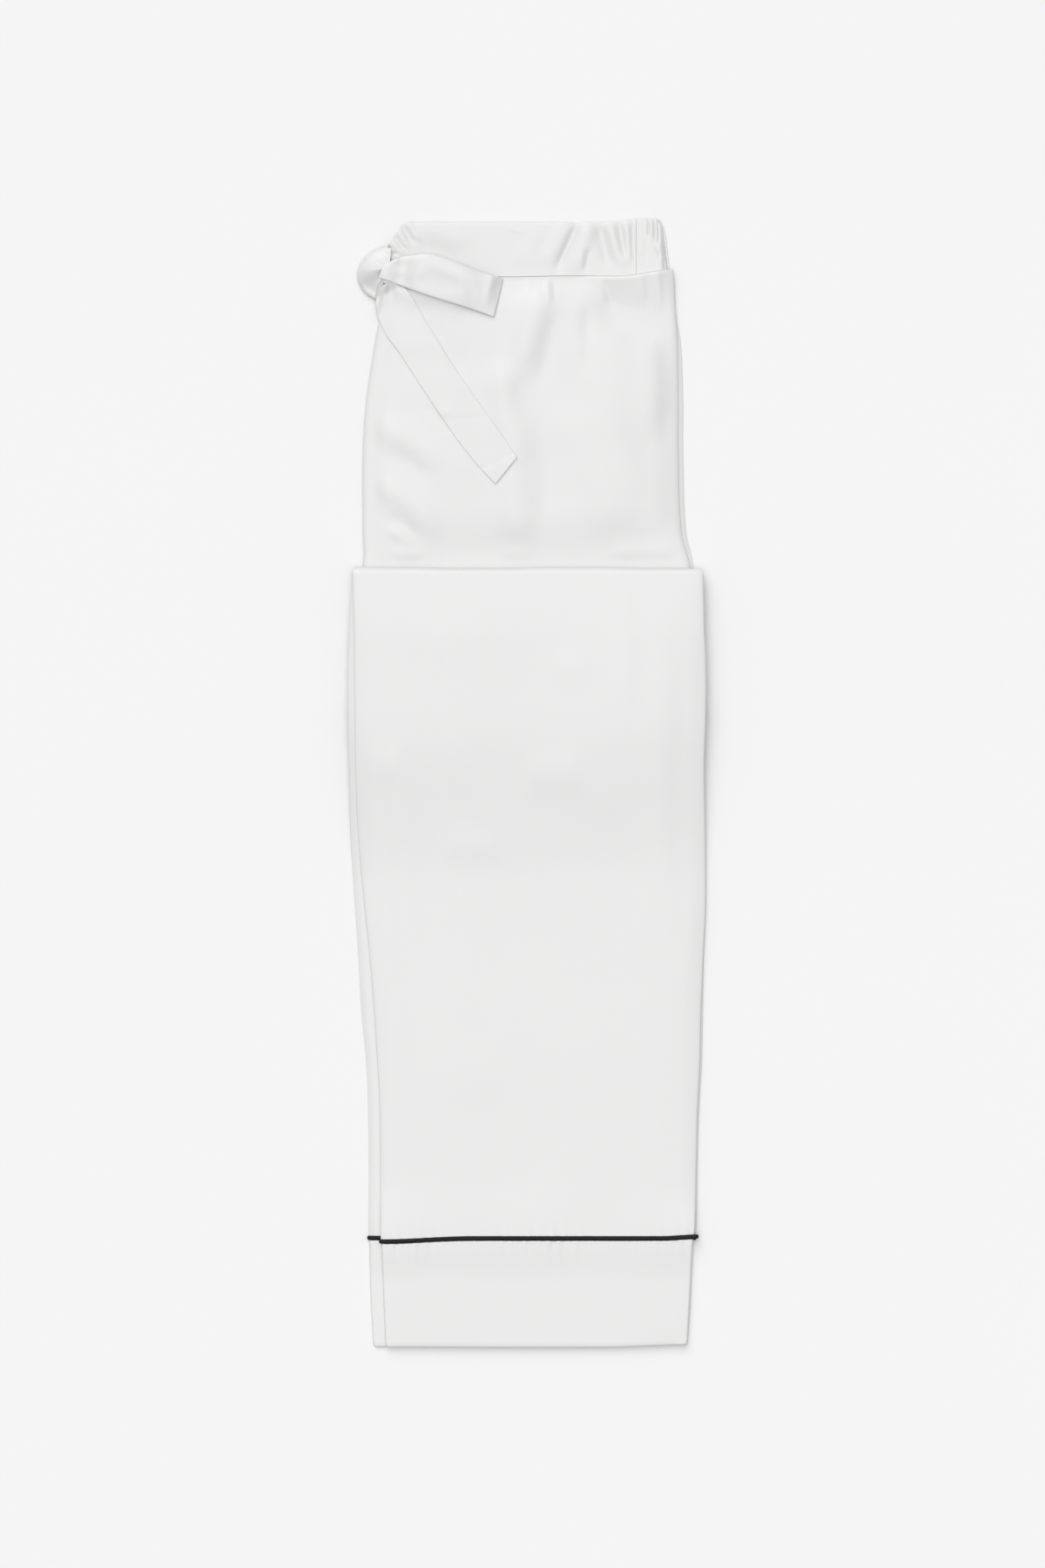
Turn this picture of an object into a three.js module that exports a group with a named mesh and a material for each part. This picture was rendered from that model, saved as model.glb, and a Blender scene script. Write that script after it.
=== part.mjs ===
// Satin pyjama pants, folded lengthwise, with the legs tucked under and turned over on top.
// Millimetres. +X is towards the side seams, +Y towards the waist, +Z up from the table.
import * as THREE from 'three';

const { lerp, smoothstep, clamp } = THREE.MathUtils;

// Driving dimensions of the garment as it lies
const BAND_TOP = 417.4;
const BAND_SEAM = 377;
const FOLD_EDGE = 159.6;
const TUCK_EDGE = 57;
const PIPING_LINE = -339.6;
const HEM_LINE = -420.4;
const PIPING_WIDTH = 3.1;

// Thicknesses: one cloth, the two hidden backs together, a doubled band, the sash, and the gaps between
const CLOTH = 1.0;
const BACKS = 1.6;
const BAND_CLOTH = 1.6;
const SASH_CLOTH = 1.1;
const SEAM_GAP = 0.3;
const STRETCH_GAP = 0.4;
const RIM = 0.6;
const RIM_SHARE = 0.4;

// Heights within one stretch of the folded stack, measured from its middle
const HALF_BACKS = BACKS / 2;
const HALF_STACK = HALF_BACKS + SEAM_GAP + CLOTH;
const NEAR_FACE = HALF_BACKS + SEAM_GAP;
const FAR_FACE = -HALF_STACK;
const LOW = HALF_STACK;
const TURN_RADIUS = HALF_STACK + STRETCH_GAP / 2;
const HIGH = LOW + 4 * TURN_RADIUS;
const LOWER_TURN_Y = TUCK_EDGE + TURN_RADIUS + HALF_STACK;
const UPPER_TURN_Y = FOLD_EDGE - TURN_RADIUS - HALF_STACK;
const TURN_STEPS = 6;

// The leg falls from the fold to the table over this run, and rises to the thick piping seam
const DRAPE_START = 57;
const DRAPE_RUN = 135;
const PIPING_LIFT = 2.5;
const PIPING_RISE_RUN = 42;
const LEG_END = PIPING_LINE + PIPING_WIDTH / 2 + SEAM_GAP;
const CUFF_START = PIPING_LINE - PIPING_WIDTH / 2 - SEAM_GAP;

// Side edges of the body stretch: the left front's own, and the outermost layer's
const BODY_EDGES = [
  { y: 382, left: -104, right: 108.6, outerLeft: -104, outerRight: 108.9 },
  { y: 353, left: -108, right: 110.5, outerLeft: -108, outerRight: 110.8 },
  { y: 344, left: -110, right: 111.2, outerLeft: -110, outerRight: 111.9 },
  { y: 336, left: -111.6, right: 111.8, outerLeft: -111.6, outerRight: 113.7 },
  { y: 324, left: -113.8, right: 112.3, outerLeft: -113.8, outerRight: 115.1 },
  { y: 285, left: -119.6, right: 112.8, outerLeft: -119.6, outerRight: 116.4 },
  { y: 246, left: -122.2, right: 112.8, outerLeft: -122.2, outerRight: 116.4 },
  { y: 188, left: -122.2, right: 115, outerLeft: -122.2, outerRight: 118.5 },
  { y: 164, left: -121.8, right: 121, outerLeft: -121.8, outerRight: 124 },
  { y: 120, left: -127, right: 128, outerLeft: -128, outerRight: 129.5 },
  { y: 50, left: -130, right: 130, outerLeft: -131, outerRight: 131.5 },
];

// Side edges of the tucked and the turned-over stretches of the legs
const LEG_EDGES = [
  { y: 164, left: -129.9, right: 131.2, outerLeft: -129.9, outerRight: 131.2 },
  { y: 158, left: -129.7, right: 131, outerLeft: -130, outerRight: 131.3 },
  { y: 129, left: -128.7, right: 130.2, outerLeft: -131.4, outerRight: 131.6 },
  { y: 90, left: -128.4, right: 131.3, outerLeft: -133.9, outerRight: 133.3 },
  { y: 50, left: -128, right: 131.3, outerLeft: -133.9, outerRight: 133.3 },
  { y: 12, left: -127.6, right: 130.2, outerLeft: -132.6, outerRight: 132 },
  { y: -42, left: -124.8, right: 131.5, outerLeft: -131.4, outerRight: 133.3 },
  { y: -90, left: -120.3, right: 132, outerLeft: -128.4, outerRight: 133.9 },
  { y: -131, left: -115.7, right: 130.4, outerLeft: -125.6, outerRight: 132 },
  { y: -170, left: -113.8, right: 129.6, outerLeft: -123.5, outerRight: 131.3 },
  { y: -209, left: -111.2, right: 128.8, outerLeft: -119.8, outerRight: 130.5 },
  { y: -248, left: -109.5, right: 126.9, outerLeft: -118.3, outerRight: 128.4 },
  { y: -332, left: -108.9, right: 125, outerLeft: -117.7, outerRight: 126.3 },
  { y: -345, left: -108.4, right: 123.6, outerLeft: -117.5, outerRight: 124.8 },
  { y: -384, left: -106.8, right: 121.5, outerLeft: -116.6, outerRight: 123.2 },
  { y: -421, left: -105.4, right: 119.5, outerLeft: -114.6, outerRight: 120.8 },
];

// Side edges of the waistband above its seam: both layers' left, the near and the far layer's right
const BAND_EDGES = [
  { y: 422, left: -91, right: 93.4, outerRight: 96 },
  { y: 418, left: -93.3, right: 97, outerRight: 99 },
  { y: 414, left: -95.2, right: 99.6, outerRight: 101.3 },
  { y: 409, left: -97.6, right: 100.6, outerRight: 102.9 },
  { y: 397, left: -104, right: 101, outerRight: 104.6 },
  { y: 376, left: -104, right: 101.8, outerRight: 107.4 },
];

// Largest soft ridges of the body front: start, bend and end of each crest, its half width and rise
const BODY_RIDGES = [
  { x1: 15, y1: 376, x2: 4, y2: 342, x3: -10, y3: 296, wide: 10, rise: 2.2 },
  { x1: -12, y1: 318, x2: -26, y2: 282, x3: 2, y3: 236, wide: 10, rise: 2.1 },
  { x1: -8, y1: 262, x2: -10, y2: 220, x3: -4, y3: 166, wide: 11, rise: 1.9 },
  { x1: 58, y1: 345, x2: 66, y2: 255, x3: 64, y3: 172, wide: 27, rise: 1.8 },
  { x1: 46, y1: 368, x2: 76, y2: 370, x3: 110, y3: 371, wide: 12, rise: 2.2 },
  { x1: 86, y1: 335, x2: 96, y2: 306, x3: 90, y3: 250, wide: 10, rise: 1.2 },
  { x1: -118, y1: 262, x2: -88, y2: 268, x3: -58, y3: 226, wide: 9, rise: 1.7 },
  { x1: -116, y1: 216, x2: -90, y2: 226, x3: -62, y3: 176, wide: 9, rise: 1.9 },
];

// Soft ridges of the flat waistband, in the same columns
const BAND_RIDGES = [
  { x1: 46, y1: 420, x2: 38, y2: 400, x3: 30, y3: 378, wide: 5, rise: 1.6 },
  { x1: 59, y1: 420, x2: 63, y2: 402, x3: 72, y3: 380, wide: 4, rise: 1.2 },
  { x1: 74, y1: 419, x2: 75, y2: 400, x3: 78, y3: 382, wide: 2.5, rise: 1.0 },
  { x1: 10, y1: 418, x2: 2, y2: 400, x3: -4, y3: 382, wide: 9, rise: 0.7 },
  { x1: -78, y1: 418, x2: -86, y2: 402, x3: -94, y3: 388, wide: 4, rise: 1.2 },
];

// Loft of the front over its hidden layers, the share that the backs take of it, and the runs it rises over
const BODY_LOFT = 2.4;
const BACKS_LOFT_SHARE = 0.5;
const LOFT_RUN = 55;
const LOFT_FROM_FOLD = { start: 4, end: 70 };
const RIDGES_FROM_EDGE = { start: 2, end: 16 };
const RIDGES_FROM_FOLD = { start: 3, end: 16 };
const RIDGE_STEPS = 10;
const RIDGE_FADE = { first: 0.12, last: 0.88 };
const SEAM_RISE = 1.2;
const SEAM_RISE_RUN = 30;

// Seam lines that aren't straight: the waistband's rises to the side, the piping's falls and rises
const BAND_SEAM_RISE = { high: 5, start: 66, end: 112 };
const BAND_SEAM_STEP = { high: 0.7, start: -10, end: 30 };
const PIPING_FALL = { high: -2.4, start: 40, end: 108 };
const PIPING_RISE = { high: 1.2, start: 100, end: 126 };
const FOLD_WAVE = { high: 0.4, length: 24 };

// How far up or down from each end of the near front its own shifts reach
const SEAM_FOLLOW = 0.9;
const SEAM_FOLLOW_RUN = 22;
const PIPING_FOLLOW_START = 300;
const BACKS_FOLLOW_START = 320;

// Rows along the body and the legs, as places in y
const LEG_ROWS = [
  110, 57, 44, 30, 12, -8, -28, -48, -64, -78, -112, -150, -190, -238, -285, -303, -317, -329, LEG_END,
];
const FAR_BODY_ROWS = [BAND_SEAM - SEAM_GAP, 345, 310, 265, 215, 170, 120];
const NEAR_BODY_ROWS = [
  BAND_SEAM - SEAM_GAP, 369, 359, 348, 336, 324, 312, 300, 288, 276, 264, 252, 240, 228, 216, 204, 192, 181,
  171, 160, 110,
];
const NEAR_COLUMNS = 23;
const FAR_COLUMNS = 7;

// The fronts roll towards each other at the centre front, and the backs stop short of them
const ROLL_WIDTH = 4;
const NEAR_ROLL = 1.1;
const FAR_ROLL = 0.7;
const BACK_INSET = 0.8;
const CENTRE_FRONT_INSET = 6;

// Edge of the two backs: the drop of its upper rim, the rise of its under rim, and the groove between
const BACKS_UPPER_RIM = 0.35;
const BACKS_UNDER_RIM = 0.3;
const BACKS_GROOVE = 2.2;
const BACKS_SLIT = 0.12;
const BACKS_NEAR_LIP = 0.2;
const BACKS_FAR_LIP = 0.4;
const BACKS_MID_SHARE = 0.35;
const BACKS_OVERLAP = 0.1;
const BACKS_TOP_COLUMNS = 9;
const BACKS_UNDER_COLUMNS = 6;

// A flat end outline is bowed by this much, at most, over this half width
const CAP_BOW = 0.02;
const CAP_REACH = 160;

// Waistband: the far front lies on the table, the elastic back over it, the near front on top
const FAR_BAND_TOP = CLOTH + 0.2;
const BACK_BAND_LOW = FAR_BAND_TOP + SEAM_GAP;
const BACK_BAND_TOP = BACK_BAND_LOW + 2.3;
const NEAR_BAND_LOW = BACK_BAND_TOP + SEAM_GAP;
const NEAR_BAND_TOP = NEAR_BAND_LOW + BAND_CLOTH;
const ELASTIC_START = 81.6;
const BAND_ROWS = 7;
const NEAR_BAND_COLUMNS = 24;
const FAR_BAND_COLUMNS = 8;
const BAND_TOP_RISE = { high: 3.2, start: 50, end: 92 };
const BAND_NOTCH = { deep: 0.9, x: 38, wide: 5 };
const BAND_RIDGE_FADE = { start: -1, end: 4 };

// The elastic back's section: its insets, its gathers, and the rounded side it turns round
const BAND_BACK_INSET = { left: 3, right: 1.2 };
const BAND_BACK_TOP_COLUMNS = 6;
const BAND_BACK_UNDER_COLUMNS = 8;
const BAND_BACK_RIM = 0.5;
const ELASTIC_WALL = 0.05;
const GATHERS = { count: 10, rise: 0.7, endShare: 0.4, sink: 0.3, fall: 0.5, inset: 2.4 };
const BAND_SIDE = [
  { inset: 0.8, drop: 1.6 },
  { inset: 0, drop: 2.1 },
  { inset: 1.5, drop: 2.9 },
];
const BAND_UNDER_SIDE = [
  { inset: 0.3, rise: 0.6 },
  { inset: 0.8, rise: 0 },
];
const BAND_UNDER_INSET = 3;

// Ground under the sash fades out over the garment's left edge, and steps up at the waistband's seam
const GROUND_EDGE = { start: -6, end: 1 };
const GROUND_SEAM = { start: -4, end: 1 };
const GROUND_DIRECTIONS = 8;

// Knot: middle, radii, the power that squares its ring, and its pleats
const KNOT = new THREE.Vector3(-102.4, 382.6, 9.1);
const KNOT_RADII = new THREE.Vector3(11, 8.6, 2.9);
const KNOT_POWER = 0.8;
const KNOT_PLEAT = 0.03;
const KNOT_PLEATS = 5;
const KNOT_SIDES = 18;
const KNOT_ROWS = 8;
const KNOT_GAP = 0.6;
const KNOT_SEARCH_STEP = 0.002;

// Tail of the sash: its two side edges from the knot to the slanted, hemmed end
const TAIL_EDGES = [
  { leftX: -109, leftY: 369.5, rightX: -97, rightY: 376 },
  { leftX: -112.6, leftY: 358.5, rightX: -91, rightY: 369.5 },
  { leftX: -110.6, leftY: 346, rightX: -84.2, rightY: 359.5 },
  { leftX: -104.9, leftY: 333.6, rightX: -77.2, rightY: 347 },
  { leftX: -95.6, leftY: 321, rightX: -68.6, rightY: 333.2 },
  { leftX: -84.8, leftY: 304.5, rightX: -58.6, rightY: 316.8 },
  { leftX: -74.1, leftY: 288, rightX: -48.2, rightY: 301 },
  { leftX: -62.7, leftY: 271, rightX: -37.4, rightY: 285.4 },
  { leftX: -50.3, leftY: 253.6, rightX: -26.2, rightY: 269.8 },
  { leftX: -37.3, leftY: 237.2, rightX: -15.6, rightY: 254.4 },
  { leftX: -23.4, leftY: 222.4, rightX: -7.2, rightY: 242.4 },
];
const TAIL_ROWS = 21;
const TAIL_COLUMNS = 4;
const TAIL_REACH = 4.5;
const SASH_CLEAR = 0.45;

// Front loop: its side edges, and the heights of its lower and upper run over the ground
const FRONT_LOOP_EDGES = [
  { leftX: -103, leftY: 375.6, rightX: -98, rightY: 390.2, low: 2.6, high: 4.5 },
  { leftX: -91, leftY: 369.2, rightX: -86, rightY: 392.6, low: 2.5, high: 5.0 },
  { leftX: -79, leftY: 364.7, rightX: -73, rightY: 393.4, low: 1.4, high: 5.3 },
  { leftX: -66, leftY: 360.4, rightX: -60, rightY: 390, low: 1.3, high: 5.4 },
  { leftX: -52, leftY: 356.2, rightX: -46, rightY: 384.4, low: 1.3, high: 5.4 },
  { leftX: -38, leftY: 351.6, rightX: -31, rightY: 379.3, low: 1.2, high: 5.0 },
  { leftX: -24.6, leftY: 347, rightX: -18, rightY: 376, low: 1.1, high: 2.9 },
];
const FRONT_LOOP_ROWS = 9;
const FRONT_LOOP_COLUMNS = 7;
const FRONT_LOOP_REACH = 6;
const LOOP_TURN_STEPS = 6;

// Side loop: its outline as reach from the knot at each angle, and heights over the table at each share out
const SIDE_LOOP_FAN = [
  { degrees: 96, reach: 15.7 },
  { degrees: 110, reach: 16.7 },
  { degrees: 126, reach: 17.4 },
  { degrees: 141, reach: 18.4 },
  { degrees: 156, reach: 19.7 },
  { degrees: 170, reach: 21.4 },
  { degrees: 184, reach: 23.1 },
  { degrees: 198, reach: 24.6 },
  { degrees: 212, reach: 25.3 },
  { degrees: 226, reach: 25.3 },
  { degrees: 239, reach: 24.9 },
];
const SIDE_LOOP_HEIGHTS = [
  { out: 0, low: 6.0, high: 10.0 },
  { out: 0.3, low: 5.2, high: 10.3 },
  { out: 0.6, low: 3.8, high: 9.6 },
  { out: 0.82, low: 2.7, high: 8.1 },
  { out: 1, low: 2.2, high: 6.4 },
];
const SIDE_LOOP_REACH = 1.6;
const LOOP_LEAST_RISE = 1.7;

// Cuffs: rows from the seam to the hem, and heights of the under and upper face at hem and seam
const CUFF_ROWS = [0, 0.07, 0.18, 0.34, 0.62, 0.97, 1];
const CUFF_COLUMNS = 12;
const CUFF_BULGE_RUN = 0.4;
const CUFF_CORNER = { share: 0.45, most: 1 };
const FAR_CUFF = { hemLow: 0, hemHigh: 2.3, seamLow: 0, seamHigh: 3.2 };
const NEAR_CUFF = { hemLow: 2.6, hemHigh: 4.9, seamLow: 3.7, seamHigh: 6.7 };
const FAR_CUFF_INSET = 0.8;
const HEM_TRIM = { face: 0.25, side: 0.8 };
const HEM_SAG = { deep: 0.5, wide: 90 };
const HEM_RISE = { high: 1.6, start: 60, end: 120 };

// Piping: a cord sewn round the flattened leg. Its runs, their own half heights, and its side ends
const FAR_PIPING = { low: 0.6, lowHalf: 0.6, high: 2.5, highHalf: 0.9, left: -118.4, right: 126 };
const NEAR_PIPING = { low: 4.3, lowHalf: 0.6, high: 6.5, highHalf: 1.2, left: -109.4, right: 127.2 };
const PIPING_SIDES = 8;
const PIPING_RUN_STEPS = 22;
const PIPING_TURN_STEPS = 4;

// Materials
const SATIN = { color: 0xebebea, roughness: 0.38, metalness: 0 };
const CORD = { color: 0x17171a, roughness: 0.5, metalness: 0 };

// Smooth value of one column of a table whose rows run down in y
function columnAt(rows, column, y) {
  const at = clamp(y, rows[rows.length - 1].y, rows[0].y);
  let i = 0;
  while (i < rows.length - 2 && at < rows[i + 1].y) i += 1;
  const slope = (k) => {
    const a = rows[Math.max(k - 1, 0)];
    const b = rows[Math.min(k + 1, rows.length - 1)];
    return (b[column] - a[column]) / (b.y - a.y);
  };
  const span = rows[i + 1].y - rows[i].y;
  const t = (at - rows[i].y) / span;
  const ease = t * t * (3 - 2 * t);
  const start = t * (1 - t) * (1 - t) * span * slope(i);
  const end = -t * t * (1 - t) * span * slope(i + 1);
  return lerp(rows[i][column], rows[i + 1][column], ease) + start + end;
}

// Height of a set of soft ridges, each a bell across its curved crest that fades to both ends
function ridgeHeight(ridges, x, y) {
  let height = 0;
  for (const ridge of ridges) {
    let nearest = Infinity;
    let fade = 0;
    for (let k = 0; k <= RIDGE_STEPS; k += 1) {
      const t = k / RIDGE_STEPS;
      const u = 1 - t;
      const cx = u * u * ridge.x1 + 2 * u * t * ridge.x2 + t * t * ridge.x3;
      const cy = u * u * ridge.y1 + 2 * u * t * ridge.y2 + t * t * ridge.y3;
      const gap = Math.hypot(x - cx, y - cy);
      if (gap < nearest) {
        nearest = gap;
        fade = Math.sin(Math.PI * lerp(RIDGE_FADE.first, RIDGE_FADE.last, t));
      }
    }
    height += ridge.rise * fade * Math.exp(-((nearest / ridge.wide) ** 2));
  }
  return height;
}

// Distance in from the nearer side edge of the body
function bodyInside(x, y) {
  return Math.min(x - columnAt(BODY_EDGES, 'left', y), columnAt(BODY_EDGES, 'right', y) - x);
}

// Loft of the body over its hidden layers: none at the edges and at the fold
function bodyLoft(x, y) {
  const fromFold = smoothstep(y, FOLD_EDGE + LOFT_FROM_FOLD.start, FOLD_EDGE + LOFT_FROM_FOLD.end);
  return BODY_LOFT * smoothstep(bodyInside(x, y), 0, LOFT_RUN) * fromFold;
}

function bodyRidges(x, y) {
  const fromEdge = smoothstep(bodyInside(x, y), RIDGES_FROM_EDGE.start, RIDGES_FROM_EDGE.end);
  const fromFold = smoothstep(y, FOLD_EDGE + RIDGES_FROM_FOLD.start, FOLD_EDGE + RIDGES_FROM_FOLD.end);
  return ridgeHeight(BODY_RIDGES, x, y) * fromEdge * fromFold;
}

function bodyRise(x, y) {
  const seamRise = SEAM_RISE * smoothstep(y, BAND_SEAM - SEAM_RISE_RUN, BAND_SEAM);
  return bodyLoft(x, y) + bodyRidges(x, y) + seamRise;
}

// The near layers rise towards the piping, where the seams are thickest
function pipingLift(y) {
  return PIPING_LIFT * smoothstep(PIPING_RISE_RUN - (y - LEG_END), 0, PIPING_RISE_RUN);
}

function drapeHeight(y) {
  return lerp(HIGH, LOW, smoothstep(DRAPE_START - y, 0, DRAPE_RUN));
}

// Seam lines that aren't straight, as shifts in y
function bandSeamShift(x) {
  const rise = BAND_SEAM_RISE.high * smoothstep(x, BAND_SEAM_RISE.start, BAND_SEAM_RISE.end);
  return rise + BAND_SEAM_STEP.high * smoothstep(x, BAND_SEAM_STEP.start, BAND_SEAM_STEP.end);
}

function pipingShift(x) {
  const fall = PIPING_FALL.high * smoothstep(-x, PIPING_FALL.start, PIPING_FALL.end);
  return fall + PIPING_RISE.high * smoothstep(x, PIPING_RISE.start, PIPING_RISE.end);
}

const straight = () => 0;

function foldWave(x) {
  return FOLD_WAVE.high * (1 + Math.sin(x / FOLD_WAVE.length));
}

// The route of the stack: body, turn, tuck, turn, then the leg. Headings turn in the YZ plane
function foldedRoute(bodyRows) {
  const route = bodyRows.map((y) => ({ y, z: LOW, heading: Math.PI, body: 1, fold: 0 }));
  for (let k = 0; k <= TURN_STEPS; k += 1) {
    const t = k / TURN_STEPS;
    const heading = Math.PI * (1 - t);
    const y = LOWER_TURN_Y - TURN_RADIUS * Math.sin(heading);
    const z = LOW + TURN_RADIUS + TURN_RADIUS * Math.cos(heading);
    route.push({ y, z, heading, body: 1 - t, fold: 0 });
  }
  for (let k = 0; k <= TURN_STEPS; k += 1) {
    const t = k / TURN_STEPS;
    const heading = Math.PI * t;
    const y = UPPER_TURN_Y + TURN_RADIUS * Math.sin(heading);
    const z = LOW + 3 * TURN_RADIUS - TURN_RADIUS * Math.cos(heading);
    route.push({ y, z, heading, body: 0, fold: Math.sin(heading) });
  }
  for (const y of LEG_ROWS) {
    const z = drapeHeight(y);
    const heading = Math.PI + Math.atan(drapeHeight(y + 0.5) - drapeHeight(y - 0.5));
    route.push({ y, z, heading, body: 0, fold: 0, leg: 1 });
  }
  return route;
}

// Left and right edges of a layer at one place on the route
function edgesAt(spot, near) {
  const left = near ? 'left' : 'outerLeft';
  const right = near ? 'right' : 'outerRight';
  return {
    left: lerp(columnAt(LEG_EDGES, left, spot.y), columnAt(BODY_EDGES, left, spot.y), spot.body),
    right: lerp(columnAt(LEG_EDGES, right, spot.y), columnAt(BODY_EDGES, right, spot.y), spot.body),
  };
}

// Places across a layer, with a thin rim at each edge so that the edge is rounded
function acrossColumns(left, right, count) {
  const columns = [{ x: left, share: RIM_SHARE }];
  for (let k = 0; k <= count; k += 1) {
    columns.push({ x: lerp(left + RIM, right - RIM, k / count), share: 1 });
  }
  columns.push({ x: right, share: RIM_SHARE });
  return columns;
}

// Closed section of a wall: its upper points to the right, then its lower points back
function wallSection(columns, lower, upper) {
  const top = [];
  const under = [];
  for (const { x, share } of columns) {
    const low = lower(x);
    const high = upper(x);
    const trim = ((high - low) * (1 - share)) / 2;
    top.push([x, high - trim]);
    under.unshift([x, low + trim]);
  }
  return [...top, ...under];
}

// Closed mesh from positions and triangles, turned outwards by the sign of its volume
function closedGeometry(points, triangles) {
  let volume = 0;
  for (const [a, b, c] of triangles) {
    volume += points[a].dot(points[b].clone().cross(points[c]));
  }
  const index = triangles.flatMap(([a, b, c]) => (volume < 0 ? [a, c, b] : [a, b, c]));
  const geometry = new THREE.BufferGeometry();
  geometry.setAttribute('position', new THREE.Float32BufferAttribute(points.flatMap((p) => p.toArray()), 3));
  geometry.setIndex(index);
  geometry.computeVertexNormals();
  return geometry;
}

// Triangles of a flat end face. Straight runs are bowed a trace outwards so that no point is skipped
function capFaces(outline) {
  const heights = outline.map(([, w]) => w);
  const middle = (Math.min(...heights) + Math.max(...heights)) / 2;
  const bowed = outline.map(([x, w]) => {
    const bow = CAP_BOW * (1 - (x / CAP_REACH) ** 2);
    return new THREE.Vector2(x, w + Math.sign(w - middle) * bow);
  });
  const turn = Math.sign(THREE.ShapeUtils.area(bowed));
  return THREE.ShapeUtils.triangulateShape(bowed, []).map(([a, b, c]) => {
    const same = Math.sign(THREE.ShapeUtils.area([bowed[a], bowed[b], bowed[c]])) === turn;
    return same ? [a, b, c] : [a, c, b];
  });
}

// Triangles of a wall's end face, as a strip from its upper points to the lower ones under them
function stripFaces(count) {
  const faces = [];
  for (let k = 0; k < count / 2 - 1; k += 1) {
    const [a, b, c, d] = [k, k + 1, count - 2 - k, count - 1 - k];
    faces.push([a, b, c], [a, c, d]);
  }
  return faces;
}

// Solid through equal sections, closed by a face at each end
function loftedSolid(sections, firstFaces, lastFaces) {
  const count = sections[0].length;
  const points = sections.flat();
  const triangles = [];
  for (let i = 0; i < sections.length - 1; i += 1) {
    for (let k = 0; k < count; k += 1) {
      const a = i * count + k;
      const b = i * count + ((k + 1) % count);
      triangles.push([a, b, b + count], [a, b + count, a + count]);
    }
  }
  const last = (sections.length - 1) * count;
  for (const [a, b, c] of firstFaces) triangles.push([a, c, b]);
  for (const [a, b, c] of lastFaces) triangles.push([last + a, last + b, last + c]);
  return closedGeometry(points, triangles);
}

// Places section points (x, height above the route, shift along y) on the route
function onRoute(spot, section) {
  const ny = Math.sin(spot.heading);
  const nz = -Math.cos(spot.heading);
  return section.map(([x, w, shift = 0]) => new THREE.Vector3(x, spot.y + ny * w + shift, spot.z + nz * w));
}

function wallAlong(route, sectionAt) {
  const sections = route.map((spot) => onRoute(spot, sectionAt(spot)));
  const faces = stripFaces(sections[0].length);
  return loftedSolid(sections, faces, faces);
}

function blockAlong(route, sectionAt) {
  const flat = route.map((spot) => sectionAt(spot));
  const sections = route.map((spot, i) => onRoute(spot, flat[i]));
  return loftedSolid(sections, capFaces(flat[0]), capFaces(flat[flat.length - 1]));
}

// Shifts of the near front's own ends and of its visible fold
function nearShift(spot, x) {
  if (spot.leg) return pipingShift(x) * smoothstep(-spot.y, PIPING_FOLLOW_START, -LEG_END);
  if (spot.fold > 0) return foldWave(x) * spot.fold;
  const atSeam = SEAM_FOLLOW * smoothstep(spot.y, BAND_SEAM - SEAM_FOLLOW_RUN, BAND_SEAM);
  return spot.body === 1 ? bandSeamShift(x) * atSeam : 0;
}

// Thickness across a slope, so that the wall keeps its own thickness square to the cloth
function slopedThickness(height, x, y) {
  const dx = height(x + 1, y) - height(x - 1, y);
  const dy = height(x, y + 1) - height(x, y - 1);
  return CLOTH * Math.hypot(1, dx / 2, dy / 2);
}

// The left front rolls down over its last few millimetres at the centre front, to meet the right front
function centreFrontRoll(x, left) {
  return smoothstep(ROLL_WIDTH - (x - left), 0, ROLL_WIDTH);
}

// Columns of a front, with two more over its roll at the centre front
function frontColumns(left, right, count) {
  const columns = acrossColumns(left, right, count);
  columns.splice(2, 0, { x: left + ROLL_WIDTH / 2, share: 1 }, { x: left + ROLL_WIDTH, share: 1 });
  return columns;
}

function frontLeft() {
  return wallAlong(foldedRoute(NEAR_BODY_ROWS), (spot) => {
    const { left, right } = edgesAt(spot, true);
    const flatBody = spot.body === 1 && spot.heading === Math.PI;
    const lower = (x) => {
      if (spot.leg) return NEAR_FACE + pipingLift(spot.y);
      const roll = NEAR_ROLL * spot.body * centreFrontRoll(x, left);
      return NEAR_FACE + (flatBody ? bodyRise(x, spot.y) : 0) - roll;
    };
    const thickness = (x) => (flatBody ? slopedThickness(bodyRise, x, spot.y) : CLOTH);
    const upper = (x) => lower(x) + thickness(x);
    const section = wallSection(frontColumns(left, right, NEAR_COLUMNS), lower, upper);
    return section.map(([x, w]) => [x, w, nearShift(spot, x)]);
  });
}

function frontRight() {
  return wallAlong(foldedRoute(FAR_BODY_ROWS), (spot) => {
    const { left, right } = edgesAt(spot, false);
    const lower = (x) => FAR_FACE + FAR_ROLL * spot.body * centreFrontRoll(x, left);
    return wallSection(frontColumns(left, right, FAR_COLUMNS), lower, (x) => lower(x) + CLOTH);
  });
}

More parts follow.
